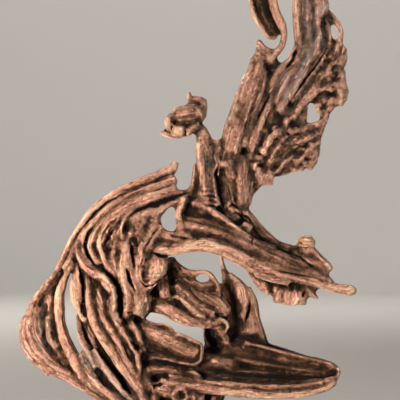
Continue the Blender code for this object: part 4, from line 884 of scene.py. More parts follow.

# How salmon and how silver the regions and some of their limbs are. The silver is partly
# weathered grey and partly painted sheen, and the back column's salmon is partly painted light
# where the tongue shades it.
REGION_TONE = {
    "mane": (0.75, 0.15), "cheek": (0.85, 0.05), "muzzle": (0.6, 0.1), "neck": (0.5, 0.22),
    "crest": (0.5, 0.3), "knob": (0.5, 0.2), "tongue": (0.3, 0.05), "back": (0.75, 0.35),
    "jaw": (0.25, 0.1), "root": (0.4, 0.2), "core": (0.2, 0.1),
}
LIMB_TONE = {
    "lip": (0.85, 0.1), "lip_edge": (0.6, 0.1), "rail": (0.8, 0.25),
    "rail_left_ridge": (0.8, 0.2), "slab_middle": (0.4, 0.6), "slab_left": (0.6, 0.4),
    "slab_right": (0.6, 0.5), "low_lock": (0.4, 0.7), "low_lock_right": (0.4, 0.7),
    "splinter": (0.4, 0.7), "broad_lock": (0.6, 0.4), "lobe": (0.75, 0.4), "flap": (0.8, 0.1),
    "bar": (0.8, 0.1), "brow": (0.85, 0.1), "horn_web": (0.15, 0.1), "horn_rim": (0.6, 0.3),
    "slab": (0.3, 0.1), "broken_plate": (0.3, 0.1), "nose_strip": (0.4, 0.1),
    "upper_strip": (0.35, 0.1), "trough": (0.1, 0.0), "burl_1": (0.7, 0.2), "burl_2": (0.7, 0.2),
    "burl_3": (0.7, 0.2),
}
# Half the width of the clefts that are closed round each region's or limb's skin
CLEFTS = {
    "mane": 3.6, "cheek": 5.0, "muzzle": 4.5, "neck": 5.0, "crest": 4.5, "knob": 3.0,
    "tongue": 5.0, "back": 3.0, "jaw": 4.0, "root": 4.0, "core": 3.0, "splinter": 1.5,
    "almond": 2.0, "bar": 2.5, "horn_rim": 2.5, "horn_web": 2.5, "horn_left_rim": 2.5,
    "saddle": 2.5, "slab_left": 3.0, "rail": 3.0, "lip": 2.0, "inner_rim": 3.0, "rim": 2.5,
    "rim_inside": 2.5, "rim_foot": 2.5, "curl": 2.0, "drip_1": 2.5, "lower": 3.0,
    "lower_edge": 2.5, "plate_top": 2.5, "broken_plate": 3.0,
}
# How knotty a region's or limb's wood is: smooth at -1, straight grain at 0 and burl at 1
KNOTS = {
    "cheek": 0.35, "knob": 0.3, "back": -0.3, "slab": -0.6, "slab_sheet": -0.6,
    "broken_plate": -0.5, "plate_edge": -0.4, "trough": -0.4, "root": 0.3, "burl_mass_1": 1.0,
    "burl_mass_2": 1.0, "burl_1": 0.8, "burl_2": 0.8, "burl_3": 0.8, "burl_4": 0.8, "burl_5": 0.9,
    "burl_lumps": 1.0, "burl_lobe": 1.0, "burl_heel": 1.0, "burl_inner": 1.0, "eye_right": 0.9,
    "eye_bottom": 0.8, "flank": 0.7, "flank_ridge": 0.8, "lobe": 0.1, "plate": 0.8,
    "teeth_plate": 0.5, "top_knob": 0.6, "fold_knot": 0.9, "rail_knot": 0.6,
}
# Spots of wear, painted highlight, painted sheen and painted shade: across, up, half width, half
# height, more salmon, more silver
WEAR_AND_PAINTED_LIGHT_SPOTS = (
    (-93, 362, 6, 14, 1.8, 0.0), (272, 388, 11, 3, 1.5, 0.0), (262, 276, 8, 5, 1.6, 0.0),
    (16, 627, 13, 9, 0.6, 0.0), (-5, 642, 6, 10, 0.4, 0.0), (60, 408, 26, 9, 0.4, 0.0),
    (260, 277, 10, 8, 1.2, 0.0), (10, 402, 22, 5, 1.2, 0.0), (300, 812, 9, 14, 0.3, 0.8),
    (232, 703, 11, 12, 0.2, 0.9), (232, 728, 4, 14, 0.3, 0.8), (255, 712, 8, 12, 0.2, 0.6),
    (197, 778, 12, 6, 0.9, 0.0), (134, 672, 7, 7, 0.8, 0.0), (136, 605, 7, 5, 0.9, 0.0),
    (150, 606, 5, 6, 0.7, 0.0), (196, 607, 10, 14, 0.8, 0.0), (176, 575, 8, 6, 0.9, 0.0),
    (106, 561, 9, 6, 1.0, 0.0), (233, 646, 6, 8, 0.9, 0.0), (218, 679, 6, 4, 0.7, 0.0),
    (297, 675, 8, 8, 0.4, 0.0), (310, 873, 12, 12, 0.5, 0.4), (-30, 362, 14, 5, 0.8, 0.0),
    (-64, 283, 12, 14, 0.7, 0.0), (-45, 440, 16, 12, -0.3, 0.2), (-250, 215, 26, 40, 0.2, 0.3),
    (55, 660, 18, 22, -0.3, 0.1), (70, 560, 22, 60, -0.2, 0.3), (30, 200, 40, 26, -0.25, 0.0),
    (200, 178, 120, 16, -0.35, 0.0), (150, 395, 60, 14, -0.25, 0.0),
)
# Painted highlights along worn edges, some of them silver sheen, and painted shade along valleys:
# half width, more salmon, more silver, path
PAINTED_HIGHLIGHT_AND_SHADE_LINES = (
    (5, 0.35, 0.9, [(276, 838), (284, 800), (266, 752), (242, 716), (228, 690)]),
    (4, 0.3, 0.8, [(300, 890), (302, 872), (290, 850)]),
    (4, 0.8, 0.0, [(-95, 405), (-97, 430), (-94, 448), (-84, 462), (-68, 476)]),
    (4, 0.7, 0.0, [
        (-240, 335), (-226, 355), (-205, 395), (-185, 430), (-150, 472), (-110, 500), (-60, 527),
    ]),
    (4, 0.8, 0.0, [(-90, 470), (-108, 458), (-125, 442), (-138, 420), (-142, 396)]),
    (5, 0.5, 0.3, [(-120, 470), (-150, 440), (-172, 412)]),
    (4, 1.0, 0.0, [(8, 302), (24, 291), (40, 276), (56, 264), (72, 258)]),
    (5, 0.7, 0.0, [(-150, 350), (-130, 334), (-112, 318), (-106, 302)]),
    (4, 0.6, 0.0, [(-66, 365), (-60, 338), (-52, 322)]),
    (5, 0.7, 0.0, [(-190, 340), (-190, 310), (-184, 280)]),
    (5, 0.6, 0.0, [(-118, 380), (-114, 360), (-106, 340)]),
    (4, 0.9, 0.0, [(312, 722), (288, 708), (266, 692), (250, 672)]),
    (6, 0.5, 0.0, [(10, 425), (50, 412), (90, 402), (130, 385)]),
    (5, 0.7, 0.0, [(40, 100), (120, 101), (200, 100), (290, 106)]),
    (4, 0.8, 0.0, [(325, 122), (336, 132), (336, 146), (330, 158)]),
    (4, 0.7, 0.0, [(64, 345), (80, 344), (90, 334), (96, 318)]),
    (5, 0.8, 0.0, [(240, 326), (285, 326), (330, 316), (360, 312)]),
    (3, 0.4, 0.0, [(160, 340), (200, 329), (232, 320)]),
    (5, 0.8, 0.0, [(240, 380), (265, 370), (290, 362)]),
    (5, 0.7, 0.0, [(345, 835), (340, 815), (330, 795)]),
    (5, 0.7, 0.0, [(-15, 250), (20, 240), (60, 232)]),
    (3, 0.5, 0.0, [(62, 513), (80, 512), (97, 508)]),
    (3, 0.3, 0.0, [(62, 503), (84, 502), (100, 496)]),
    (3, 0.5, 0.0, [(66, 494), (86, 493), (101, 485)]),
    (3, 0.3, 0.0, [(72, 484), (88, 483), (102, 474)]),
    (9, -1.2, 0.0, [(64, 158), (110, 146), (180, 139), (240, 136), (300, 135)]),
    (6, 0.6, 0.0, [(200, 174), (225, 173), (242, 168)]),
    (5, -0.9, 0.0, [(-98, 456), (-116, 442), (-128, 424), (-134, 404)]),
    (5, -0.9, 0.0, [(-82, 462), (-87, 440), (-86, 412)]),
    (6, -0.7, 0.0, [(-75, 432), (-60, 428), (-40, 434)]),
    (6, -0.8, 0.0, [(-150, 335), (-142, 315), (-136, 292)]),
    (6, -0.6, 0.0, [(-104, 396), (-100, 378), (-102, 352)]),
    (6, -0.8, 0.0, [(-92, 325), (-88, 300), (-90, 270)]),
    (7, -0.8, 0.0, [(40, 482), (44, 466), (52, 458)]),
    (5, -0.8, 0.1, [(200, 352), (240, 352), (290, 352)]),
    (5, -0.8, 0.1, [(225, 345), (260, 338), (290, 336)]),
    (6, -0.7, 0.0, [(30, 455), (60, 448), (100, 436), (140, 412)]),
    (8, -0.6, 0.0, [(20, 652), (45, 662)]),
    (6, -0.6, 0.0, [(-210, 355), (-228, 330), (-246, 300)]),
    (6, -0.6, 0.0, [(100, 600), (96, 570), (98, 530), (104, 490)]),
    (8, -0.5, 0.0, [(160, 560), (160, 520), (156, 490)]),
    (7, -0.7, 0.0, [(215, 800), (214, 830)]),
    (7, -0.6, 0.0, [(220, 660), (240, 640), (262, 640)]),
    (6, -0.6, 0.0, [(150, 700), (140, 660), (150, 620)]),
)
# Knots that stand out, and pits with a fall: across, up, half width, half height, rise
BUMPS = (
    (-55, 446, 11, 9, 5), (-58, 446, 4, 4, -3), (-30, 350, 14, 18, 3), (196, 607, 8, 10, 6),
    (190, 627, 6, 6, 4), (209, 632, 6, 7, 5), (233, 646, 6, 8, 5), (176, 575, 8, 6, 5),
    (187, 590, 6, 7, 5), (106, 561, 9, 7, 5), (136, 604, 6, 5, 4), (150, 606, 5, 6, 4),
    (134, 672, 6, 7, 4), (128, 648, 5, 8, 3), (148, 588, 4, 5, -6), (236, 621, 3, 3, -7),
    (180, 559, 7, 5, -6), (212, 555, 7, 5, -6), (262, 590, 8, 5, 4), (282, 600, 6, 5, 4),
    (250, 570, 9, 6, 4), (240, 630, 8, 5, 3), (275, 570, 6, 4, -5), (325, 690, 7, 7, 4),
    (340, 705, 6, 8, 4), (320, 710, 6, 5, 4), (335, 668, 6, 5, 3), (345, 770, 6, 10, 3),
    (330, 755, 6, 6, -4), (350, 740, 5, 6, 3), (310, 875, 8, 8, 4), (298, 888, 6, 6, 3),
    (-262, 215, 8, 10, 3), (-252, 240, 9, 12, 3), (-228, 176, 7, 6, 3), (62, 660, 8, 14, 3),
    (30, 664, 12, 8, 3), (23, 104, 12, 12, 3), (23, 104, 8, 7, -5),
)
# Cracks and clefts cut into the front: half width, depth, path
CREVICES = {
    "mane_fold": (3, 8, [(-95, 500), (-125, 484), (-152, 460), (-180, 427)]),
    "lock_loop": (4, 14, [
        (-150, 440), (-162, 422), (-168, 400), (-162, 380), (-150, 362), (-138, 358),
    ]),
    "ridge_side": (5, 22, [
        (-138, 360), (-118, 340), (-103, 320), (-99, 298), (-99, 275), (-96, 258), (-85, 245),
    ]),
    "ridge_foot": (3, 12, [(-80, 215), (-68, 200), (-60, 188)]),
    "low_slit": (4, 16, [(-110, 152), (-98, 140), (-88, 120), (-75, 103)]),
    "low_crack": (2.5, 4, [(-135, 152), (-134, 125)]),
    "splinter_gap": (3.2, 11, [(-178, 250), (-173, 236), (-166, 216), (-152, 192)]),
    "almond_side": (3.5, 14, [(-186, 368), (-178, 345), (-172, 320), (-172, 290), (-177, 264)]),
    "inner_curve": (3.5, 7, [(-100, 456), (-118, 444), (-131, 425), (-137, 405)]),
    "second_curve": (2.5, 5, [(-110, 434), (-120, 416), (-130, 398)]),
    "rib_gap_high": (2.6, 7, [(-80, 412), (-75, 398), (-73, 380), (-71, 362), (-70, 350)]),
    "rib_gap_low": (2.8, 7, [(-88, 362), (-80, 336), (-74, 322), (-66, 304)]),
    "plate_edge": (2.2, 6, [
        (-62, 348), (-56, 328), (-48, 319), (-32, 322), (-8, 342), (-2, 374),
    ]),
    "fan_left": (3, 3, [(-20, 438), (-34, 420), (-46, 400), (-50, 388)]),
    "fan_right": (3, 2.5, [(-8, 434), (6, 420), (30, 414), (58, 412)]),
    "jaw_trough": (6, 10, [
        (60, 160), (90, 150), (130, 143), (180, 139), (240, 136), (290, 135), (318, 138),
    ]),
    "plate_under": (3, 8, [(-30, 172), (10, 164), (50, 158)]),
    "nape_fold_1": (2.6, 5, [(114, 474), (124, 481), (140, 470)]),
    "nape_fold_2": (2.6, 5, [(120, 460), (132, 465), (150, 450)]),
    "nape_fold_3": (2.4, 4, [(140, 462), (156, 455), (166, 440)]),
    "wrinkle_1": (2.6, 2, [(58, 507), (78, 508), (98, 502)]),
    "wrinkle_2": (2.2, 3, [(60, 497), (80, 499), (101, 491)]),
    "wrinkle_3": (2.6, 2, [(64, 487), (84, 489), (102, 480)]),
    "wrinkle_4": (2.2, 3, [(70, 479), (88, 478), (104, 468)]),
    "lip_gap": (2, 6, [(-12, 640), (-11, 630), (2, 625)]),
    "chin_gap": (2, 5, [(4, 642), (3, 632), (8, 622)]),
    "cheek_gap": (2, 5, [(30, 634), (31, 622), (29, 614)]),
    "barb_gap": (2, 5, [(268, 312), (262, 296)]),
    "spur_gap": (2.6, 3, [(240, 384), (262, 374), (284, 356), (300, 346)]),
    "muzzle_line": (2.4, 5, [(200, 352), (245, 344), (290, 334)]),
    "under_brow": (4, 10, [(-35, 386), (-15, 380), (5, 378)]),
    "root_crack": (2.5, 8, [(-32, 113), (-30, 122), (-10, 127)]),
    "root_knot": (5, 3, [(18, 108), (23, 110)]),
    "recess": (9, 16, [(72, 238), (82, 215), (95, 195)]),
    "column_crack": (2.5, 8, [(160, 292), (158, 268), (150, 245)]),
    "muzzle_pit": (4, 8, [(162, 410), (166, 409)]),
    "nape": (4, 14, [(97, 562), (92, 540), (98, 500), (106, 478)]),
    "crest_long": (2.6, 7, [
        (318, 812), (310, 785), (290, 755), (270, 730), (250, 700), (240, 683),
    ]),
    "crest_groove": (3, 7, [(258, 802), (245, 770), (225, 743)]),
    "crest_low": (3, 6, [(203, 706), (190, 680), (180, 660), (170, 638)]),
    "arch": (4, 8, [(-85, 455), (-60, 470), (-40, 478), (-18, 486), (0, 492), (40, 505)]),
}

# How far the root leaves the plane of the drawing: the mane curls away on the left, the
# crest leans back and the muzzle turns a little to the front.
MANE_CURL, MANE_CURL_FROM, MANE_CURL_SPAN = 62.0, -70.0, 235.0
CREST_LEAN, CREST_LEAN_FROM, CREST_LEAN_SPAN = 52.0, 540.0, 380.0
MUZZLE_TURN, MUZZLE_TURN_FROM, MUZZLE_TURN_SPAN = -26.0, 150.0, 200.0
DRAWN_CENTRE, DRAWN_FOOT = 15.0, 36.0
REVERSE_PLANE, REVERSE_RELIEF, REVERSE_END = -6.0, 0.8, 300.0
STATION_SPACING, LIMB_SIDES, THINNEST = 4.0, 16, 0.5
DOME = ((0.8, 0.55), (0.45, 0.88))


def stations(path):
    """Even stations on a smooth curve through the path, with domed ends."""
    points = np.array(path, float)
    ends = np.vstack([2 * points[0] - points[1], points, 2 * points[-1] - points[-2]])
    found = []
    for before, start, end, after in zip(ends, ends[1:], ends[2:], ends[3:]):
        count = max(2, round(np.linalg.norm((end - start)[:3]) / STATION_SPACING))
        t = (np.arange(count) / count)[:, None]
        found.append(
            0.5 * (2 * start + (end - before) * t
                   + (2 * before - 5 * start + 4 * end - after) * t ** 2
                   + (3 * start - before - 3 * end + after) * t ** 3)
        )
    found = np.vstack([*found, points[-1:]])
    for _ in range(2):
        way = found[0, :3] - found[1, :3]
        way /= np.linalg.norm(way)
        size = found[0, 3:].min()
        dome = [np.r_[found[0, :3] + way * size * reach, found[0, 3:] * share]
                for reach, share in DOME]
        found = np.vstack([*dome, found])[::-1]
    return found


rods, wide, deep, along, limb, edges = [], [], [], [], [], []
names = []
for region, limbs in REGIONS.items():
    for name, path in limbs.items():
        for i, point in enumerate(path):
            path[i] = (*point, *path[i - 1][len(point):])
        names.append((region, name))
        copies = [path]
        if name in REVERSED:
            copies.append([(x, z, REVERSE_PLANE + REVERSE_RELIEF * (REVERSE_PLANE - y), w, d)
                           for x, z, y, w, d in path if x < REVERSE_END])
        for copy in copies:
            row = stations(copy)
            start = sum(map(len, rods))
            x, z, y = row[:, 0], row[:, 1], row[:, 2]
            curl = np.maximum(0, (MANE_CURL_FROM - x) / MANE_CURL_SPAN)
            lean = np.maximum(0, (z - CREST_LEAN_FROM) / CREST_LEAN_SPAN)
            turn = np.maximum(0, (x - MUZZLE_TURN_FROM) / MUZZLE_TURN_SPAN)
            turn *= z < CREST_LEAN_FROM
            away = y + MANE_CURL * curl ** 2 + CREST_LEAN * lean ** 1.5 + MUZZLE_TURN * turn ** 2
            up = z - DRAWN_FOOT + SEAT * 1000
            rods.append(np.stack([x - DRAWN_CENTRE, away, up], 1) * MILLIMETRE)
            steps = np.linalg.norm(np.diff(rods[-1], axis=0), axis=1)
            along.append(np.r_[0, np.cumsum(steps)])
            wide.append(np.maximum(row[:, 3], THINNEST) * MILLIMETRE)
            deep.append(np.maximum(row[:, 4], THINNEST) * MILLIMETRE)
            limb.append(np.full(len(row), len(names) - 1))
            edges.append(np.stack([np.arange(len(row) - 1), np.arange(1, len(row))], 1) + start)
rods, edges = np.vstack(rods), np.vstack(edges)
wide, deep, along, limb = map(np.concatenate, (wide, deep, along, limb))
cleft = np.array([CLEFTS.get(name, CLEFTS[region]) for region, name in names]) * MILLIMETRE
knots = np.array([KNOTS.get(name, KNOTS.get(region, 0.0)) for region, name in names])


def put(mesh, name, kind, values):
    """Writes the values as a named attribute of the mesh's points."""
    field = mesh.attributes.new(name, kind, "POINT")
    key = "vector" if kind == "FLOAT_VECTOR" else "value"
    field.data.foreach_set(key, np.ravel(values).astype(np.float32))


def settled(obj, name):
    """The object's mesh with its modifiers in it, in place of the modifiers."""
    bpy.context.view_layer.update()
    seen = obj.evaluated_get(bpy.context.evaluated_depsgraph_get())
    mesh = bpy.data.meshes.new_from_object(seen)
    mesh.name = name
    obj.modifiers.clear()
    obj.data = mesh
    return mesh


def read(mesh, name, size=3):
    """The mesh's places, normals or a named attribute as an array."""
    values = np.empty(len(mesh.vertices) * size, np.float32)
    if name == "normal":
        mesh.vertex_normals.foreach_get("vector", values)
    elif name == "co":
        mesh.vertices.foreach_get("co", values)
    else:
        mesh.attributes[name].data.foreach_get("vector" if size == 3 else "value", values)
    return values.reshape(-1, size) if size > 1 else values


def edge_ends(mesh):
    """The two points of every edge, one pair after another."""
    ends = np.empty(len(mesh.edges) * 2, np.int32)
    mesh.edges.foreach_get("vertices", ends)
    return ends


# The limbs' lines grow into oval rods in Geometry Nodes, each as wide and deep as drawn.
lines = bpy.data.meshes.new("limb_lines")
lines.from_pydata(rods.tolist(), edges.tolist(), [])
put(lines, "wide", "FLOAT", wide + cleft[limb])
put(lines, "flat", "FLOAT", (deep + cleft[limb]) / (wide + cleft[limb]))
put(lines, "along", "FLOAT", along)
put(lines, "limb", "FLOAT", limb)
put(lines, "centre", "FLOAT_VECTOR", rods)
wood = bpy.data.objects.new("driftwood_fine", lines)
bpy.context.scene.collection.objects.link(wood)
bark = bpy.data.materials.new("driftwood_bark")

growth = bpy.data.node_groups.new("limb_growth", "GeometryNodeTree")
growth.interface.new_socket("Lines", in_out="INPUT", socket_type="NodeSocketGeometry")
sides_socket = growth.interface.new_socket("Sides", in_out="INPUT", socket_type="NodeSocketInt")
growth.interface.new_socket("Limbs", in_out="OUTPUT", socket_type="NodeSocketGeometry")
start = Value(growth)
entry = growth.nodes.new("NodeGroupInput")
named = "GeometryNodeInputNamedAttribute"
width = start.make(named, {"Name": "wide"}, data_type="FLOAT")
centre = start.make(named, {"Name": "centre"}, data_type="FLOAT_VECTOR")
flat = start.make(named, {"Name": "flat"}, data_type="FLOAT")
curve = start.make("GeometryNodeMeshToCurve", {0: Value(growth, entry.outputs[0])})
RESOLUTION, RADIUS = 0, 4
inputs = {RESOLUTION: Value(growth, entry.outputs[1]), RADIUS: 1.0}
circle = start.make("GeometryNodeCurvePrimitiveCircle", inputs)
inputs = {"Curve": curve, "Profile Curve": circle, "Scale": width, "Fill Caps": True}
tube = start.make("GeometryNodeCurveToMesh", inputs)
spread = start.make("GeometryNodeInputPosition").vector("SUBTRACT", centre)
thicker = start.make("ShaderNodeCombineXYZ", {0: 0.0, 1: flat - 1.0, 2: 0.0})
inputs = {"Geometry": tube, "Offset": spread.vector("MULTIPLY", thicker)}
whole = start.make("GeometryNodeSetPosition", inputs)
whole = start.make("GeometryNodeRealizeInstances", {0: whole})
whole = start.make("GeometryNodeSetMaterial", {0: whole, "Material": bark})
leave = growth.nodes.new("NodeGroupOutput")
growth.links.new(whole.socket, leave.inputs[0])
grow = wood.modifiers.new("grow", "NODES")
grow.node_group = growth
grow[sides_socket.identifier] = LIMB_SIDES
skin = settled(wood, "limb_skins")

# Where the strands run: each limb's skin, its own flow and how far along and round it is.
skin_at, skin_centre = read(skin, "co"), read(skin, "centre")
skin_along, skin_limb = read(skin, "along", 1), np.rint(read(skin, "limb", 1)).astype(int)
line_tree = KDTree(len(rods))
for i, rod in enumerate(rods):
    line_tree.insert(rod, i)
line_tree.balance()
flow = np.gradient(rods, axis=0)
breaks = np.flatnonzero(np.r_[True, limb[1:] != limb[:-1]] | np.r_[True, along[1:] < along[:-1]])
flow[breaks] = rods[np.minimum(breaks + 1, len(rods) - 1)] - rods[breaks]
last = np.r_[breaks[1:] - 1, len(rods) - 1]
flow[last] = rods[last] - rods[last - 1]
flow /= np.linalg.norm(flow, axis=1)[:, None]
skin_flow = flow[np.array([line_tree.find(c)[1] for c in skin_centre])]
skin_out = skin_at - skin_centre
skin_out /= np.maximum(np.linalg.norm(skin_out, axis=1), 1e-9)[:, None]
skin_round = np.cross(skin_flow, skin_out)
side = np.cross(skin_flow, (0.0, 1.0, 0.0))
side /= np.maximum(np.linalg.norm(side, axis=1), 1e-9)[:, None]
turned = np.arctan2((skin_out * (0.0, 1.0, 0.0)).sum(1), (skin_out * side).sum(1))
skin_arc = turned * np.linalg.norm(skin_at - skin_centre, axis=1)
core = np.array([region == "core" for region, _ in names])
every_skin, skin_tree = KDTree(len(skin_at)), KDTree(int((~core[skin_limb]).sum()))
for i, place in enumerate(skin_at):
    every_skin.insert(place, i)
    if not core[skin_limb[i]]:
        skin_tree.insert(place, i)
every_skin.balance()
skin_tree.balance()
LIMB_SHIFT, KNOT_CURL = 7.3, 2.5
TAPERED_SHARE, FAINTEST = 0.3, 0.15


def flow_at(places):
    """Millimetres along and round the nearest limb, and which limb it is."""
    near = np.array([skin_tree.find(place)[1] for place in places])
    ahead = places - skin_at[near]
    u = skin_along[near] + (ahead * skin_flow[near]).sum(1)
    v = skin_arc[near] + (ahead * skin_round[near]).sum(1)
    u *= 1 + KNOT_CURL * np.maximum(knots[skin_limb[near]], 0)
    return np.stack([u * 1000, v * 1000, skin_limb[near] * LIMB_SHIFT], 1), skin_limb[near]


def spread_out(values, rounds, ends):
    """Each point's value shared with its neighbours along the edges, over and over."""
    a, b = ends.reshape(-1, 2).T
    count = np.bincount(np.r_[a, b], minlength=len(values)).astype(float)
    for _ in range(rounds):
        shared = np.bincount(np.r_[a, b], values[np.r_[b, a]], len(values))
        values = 0.5 * values + 0.5 * shared / count
    return values


def drawn(places):
    """Places in the drawing's millimetres, across and up."""
    return places[:, 0] * 1000 + DRAWN_CENTRE, places[:, 2] * 1000 + DRAWN_FOOT - SEAT * 1000


def near_line(x, z, across, path):
    """1 on the drawn path and 0 away from it, thinner towards its ends."""
    nearest, reached, gone = np.full(len(x), 1e9), np.zeros(len(x)), 0.0
    for (x1, z1), (x2, z2) in zip(path, path[1:]):
        length = math.hypot(x2 - x1, z2 - z1)
        t = np.clip(((x - x1) * (x2 - x1) + (z - z1) * (z2 - z1)) / length ** 2, 0, 1)
        off = np.hypot(x - x1 - t * (x2 - x1), z - z1 - t * (z2 - z1))
        reached = np.where(off < nearest, gone + t * length, reached)
        nearest, gone = np.minimum(nearest, off), gone + length
    taper = np.minimum(reached, gone - reached) / (TAPERED_SHARE * gone)
    taper = np.clip(taper, FAINTEST, 1)
    return taper * np.exp(-(nearest / (across * (0.4 + 0.6 * taper))) ** 2)


def near_spot(x, z, middle_x, middle_z, half_wide, half_high):
    """1 in the middle of a drawn spot and 0 away from it."""
    return np.exp(-((x - middle_x) / half_wide) ** 2 - ((z - middle_z) / half_high) ** 2)


# The limbs are grown a little, fused into one skin and shrunk again, which closes the
# narrow clefts between them. Then the crevices are cut and the knots raised on the front.
VOXEL, FUSE_ROUNDS, SHRINK_ROUNDS = 0.0019, 4, 1
CLEFT_ROUNDS, KNOT_ROUNDS = 6, 12
FRONT_EDGE, FRONT_SLOPE = 0.35, 1.6
FRONT_REACH, MANE_REACH, CREST_REACH = 0.02, 0.09, 0.05
MANE_SIDE, CREST_FOOT = -150, 700


def fused(name, rounds):
    """The wood's mesh as one even skin, smoothed for some rounds."""
    remesh = wood.modifiers.new("fuse", "REMESH")
    remesh.mode, remesh.voxel_size = "VOXEL", VOXEL
    smooth = wood.modifiers.new("smooth", "SMOOTH")
    smooth.factor, smooth.iterations = 0.5, rounds
    return settled(wood, name)


grown = fused("driftwood_grown", FUSE_ROUNDS)
at, normal = read(grown, "co"), read(grown, "normal")
owner = skin_limb[[every_skin.find(place)[1] for place in at]]
inward = spread_out(cleft[owner], CLEFT_ROUNDS, edge_ends(grown))
grown.vertices.foreach_set("co", (at - normal * inward[:, None]).astype(np.float32).ravel())
body = fused("driftwood_fused", SHRINK_ROUNDS)
at, normal = read(body, "co").astype(float), read(body, "normal")
x, z = drawn(at)
reach = FRONT_REACH + MANE_REACH * (x < MANE_SIDE) + CREST_REACH * (z > CREST_FOOT)
faces_front = np.clip(FRONT_EDGE - normal[:, 1] * FRONT_SLOPE, 0, 1) * (at[:, 1] < reach)
for across, depth, path in CREVICES.values():
    at[:, 1] += MILLIMETRE * depth * near_line(x, z, across, path) * faces_front
for *spot, rise in BUMPS:
    at[:, 1] -= MILLIMETRE * rise * near_spot(x, z, *spot) * faces_front
body.vertices.foreach_set("co", at.astype(np.float32).ravel())
body.update()
here, owner = flow_at(at)
put(body, "flow", "FLOAT_VECTOR", here)
put(body, "knotty", "FLOAT", spread_out(knots[owner], KNOT_ROUNDS, edge_ends(body)))

# The skin is cracked and worn along the grain, and lumpy where it is knotty. The patterns'
# scales are turns for each millimetre along, round and from limb to limb.
BEND_SCALE, BEND_REACH = 11.0, 34.0
BAND_SCALE, STRAND_SCALE = (0.009, 0.060, 1.0), (0.012, 0.13, 1.0)
CRACK_SCALE = (0.005, 0.070, 2.0)
BAND_RISE, STRAND_RISE, CRACK_RISE, CRACK_WIDTH, WEAR_REST = 1.1, 4.6, 1.6, 0.030, 2.0
LUMP_RISE, KNOTTY_LUMP_RISE, PEBBLE_RISE, KNOTTY_PEBBLE_RISE = 5.0, 6.0, 1.0, 4.0


def bent(run, place):
    """The flow, swayed from side to side by a slow noise."""
    sway = (place.noise(BEND_SCALE, 2.0) - 0.5) * BEND_REACH
    return run.vector("ADD", run.make("ShaderNodeCombineXYZ", {0: 0.0, 1: sway, 2: 0.0}))


wear = bpy.data.node_groups.new("grain_wear", "GeometryNodeTree")
wear.interface.new_socket("Wood", in_out="INPUT", socket_type="NodeSocketGeometry")
depth_socket = wear.interface.new_socket("Depth", in_out="INPUT", socket_type="NodeSocketFloat")
wear.interface.new_socket("Worn", in_out="OUTPUT", socket_type="NodeSocketGeometry")
start = Value(wear)
entry = wear.nodes.new("NodeGroupInput")
where = start.make("GeometryNodeInputPosition")
knotty = start.make(named, {"Name": "knotty"}, data_type="FLOAT")
run = bent(start.make(named, {"Name": "flow"}, data_type="FLOAT_VECTOR"), where)
band = abs(run.vector("MULTIPLY", BAND_SCALE).noise(1.0, 1.0) - 0.5) * -4.0 + 1.0
strand = run.vector("MULTIPLY", STRAND_SCALE).noise(1.0, 2.0, 0.6) - 0.5
crack = abs(run.vector("MULTIPLY", CRACK_SCALE).noise(1.0, 2.0, 0.7) - 0.5)
lump = where.noise(26.0, 3.0, 0.6) - 0.5
pebble = where.noise(75.0, 2.0, 0.6) - 0.5
rough = where.noise(9.0, 1.0).step(0.35, 0.65) * 0.9 + 0.35
height = band * BAND_RISE + strand * rough * STRAND_RISE
height = height + crack.step(0.0, CRACK_WIDTH) * CRACK_RISE - WEAR_REST
height = height + lump * (knotty * KNOTTY_LUMP_RISE + LUMP_RISE)
height = height + pebble * (knotty * KNOTTY_PEBBLE_RISE + PEBBLE_RISE)
height = height * (knotty.math("MINIMUM", 0.0) + 1.0)
inputs = {"Value": height, "Iterations": 1}
blur = start.make("GeometryNodeBlurAttribute", inputs, data_type="FLOAT")
inputs = {0: start.make("GeometryNodeInputNormal"), "Scale": blur * Value(wear, entry.outputs[1])}
shift = start.make("ShaderNodeVectorMath", inputs, operation="SCALE")
inputs = {"Geometry": Value(wear, entry.outputs[0]), "Offset": shift}
worn = start.make("GeometryNodeSetPosition", inputs)
worn = start.make("GeometryNodeRealizeInstances", {0: worn})
worn = start.make("GeometryNodeSetMaterial", {0: worn, "Material": bark})
leave = wear.nodes.new("NodeGroupOutput")
wear.links.new(worn.socket, leave.inputs[0])
age = wood.modifiers.new("age", "NODES")
age.node_group = wear
age[depth_socket.identifier] = MILLIMETRE
wood.modifiers.new("triangles", "TRIANGULATE")
worn_mesh = settled(wood, "driftwood_worn")

# The mesh is thinned to its triangle budget, more so on the reverse side and under the foot.
KEPT_TRIANGLES = 196000
HIDDEN_WEIGHT, SHOWN_WEIGHT, HIDDEN_THINNING = 1.0, 0.5, 0.000003
REVERSE_NORMAL, FOOT_HEIGHT = 0.3, 0.05
worn_at, worn_normal = read(worn_mesh, "co"), read(worn_mesh, "normal")
plainer = (worn_normal[:, 1] > REVERSE_NORMAL) | (worn_at[:, 2] < FOOT_HEIGHT)
hidden = wood.vertex_groups.new(name="hidden_side")
hidden.add(np.flatnonzero(plainer).tolist(), HIDDEN_WEIGHT, "REPLACE")
hidden.add(np.flatnonzero(~plainer).tolist(), SHOWN_WEIGHT, "REPLACE")
thin = wood.modifiers.new("thin", "DECIMATE")
thin.ratio = min(1.0, KEPT_TRIANGLES / len(worn_mesh.polygons))
thin.use_collapse_triangulate = True
thin.vertex_group, thin.vertex_group_factor = "hidden_side", HIDDEN_THINNING
body = settled(wood, "driftwood_fine")
wood.vertex_groups.clear()

# The foot is sawn flat and nothing stands outside the solid's own box.
low, high = (np.array(corner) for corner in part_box("driftwood"))
at = np.clip(read(body, "co"), low, high)
body.vertices.foreach_set("co", at.astype(np.float32).ravel())
body.update()
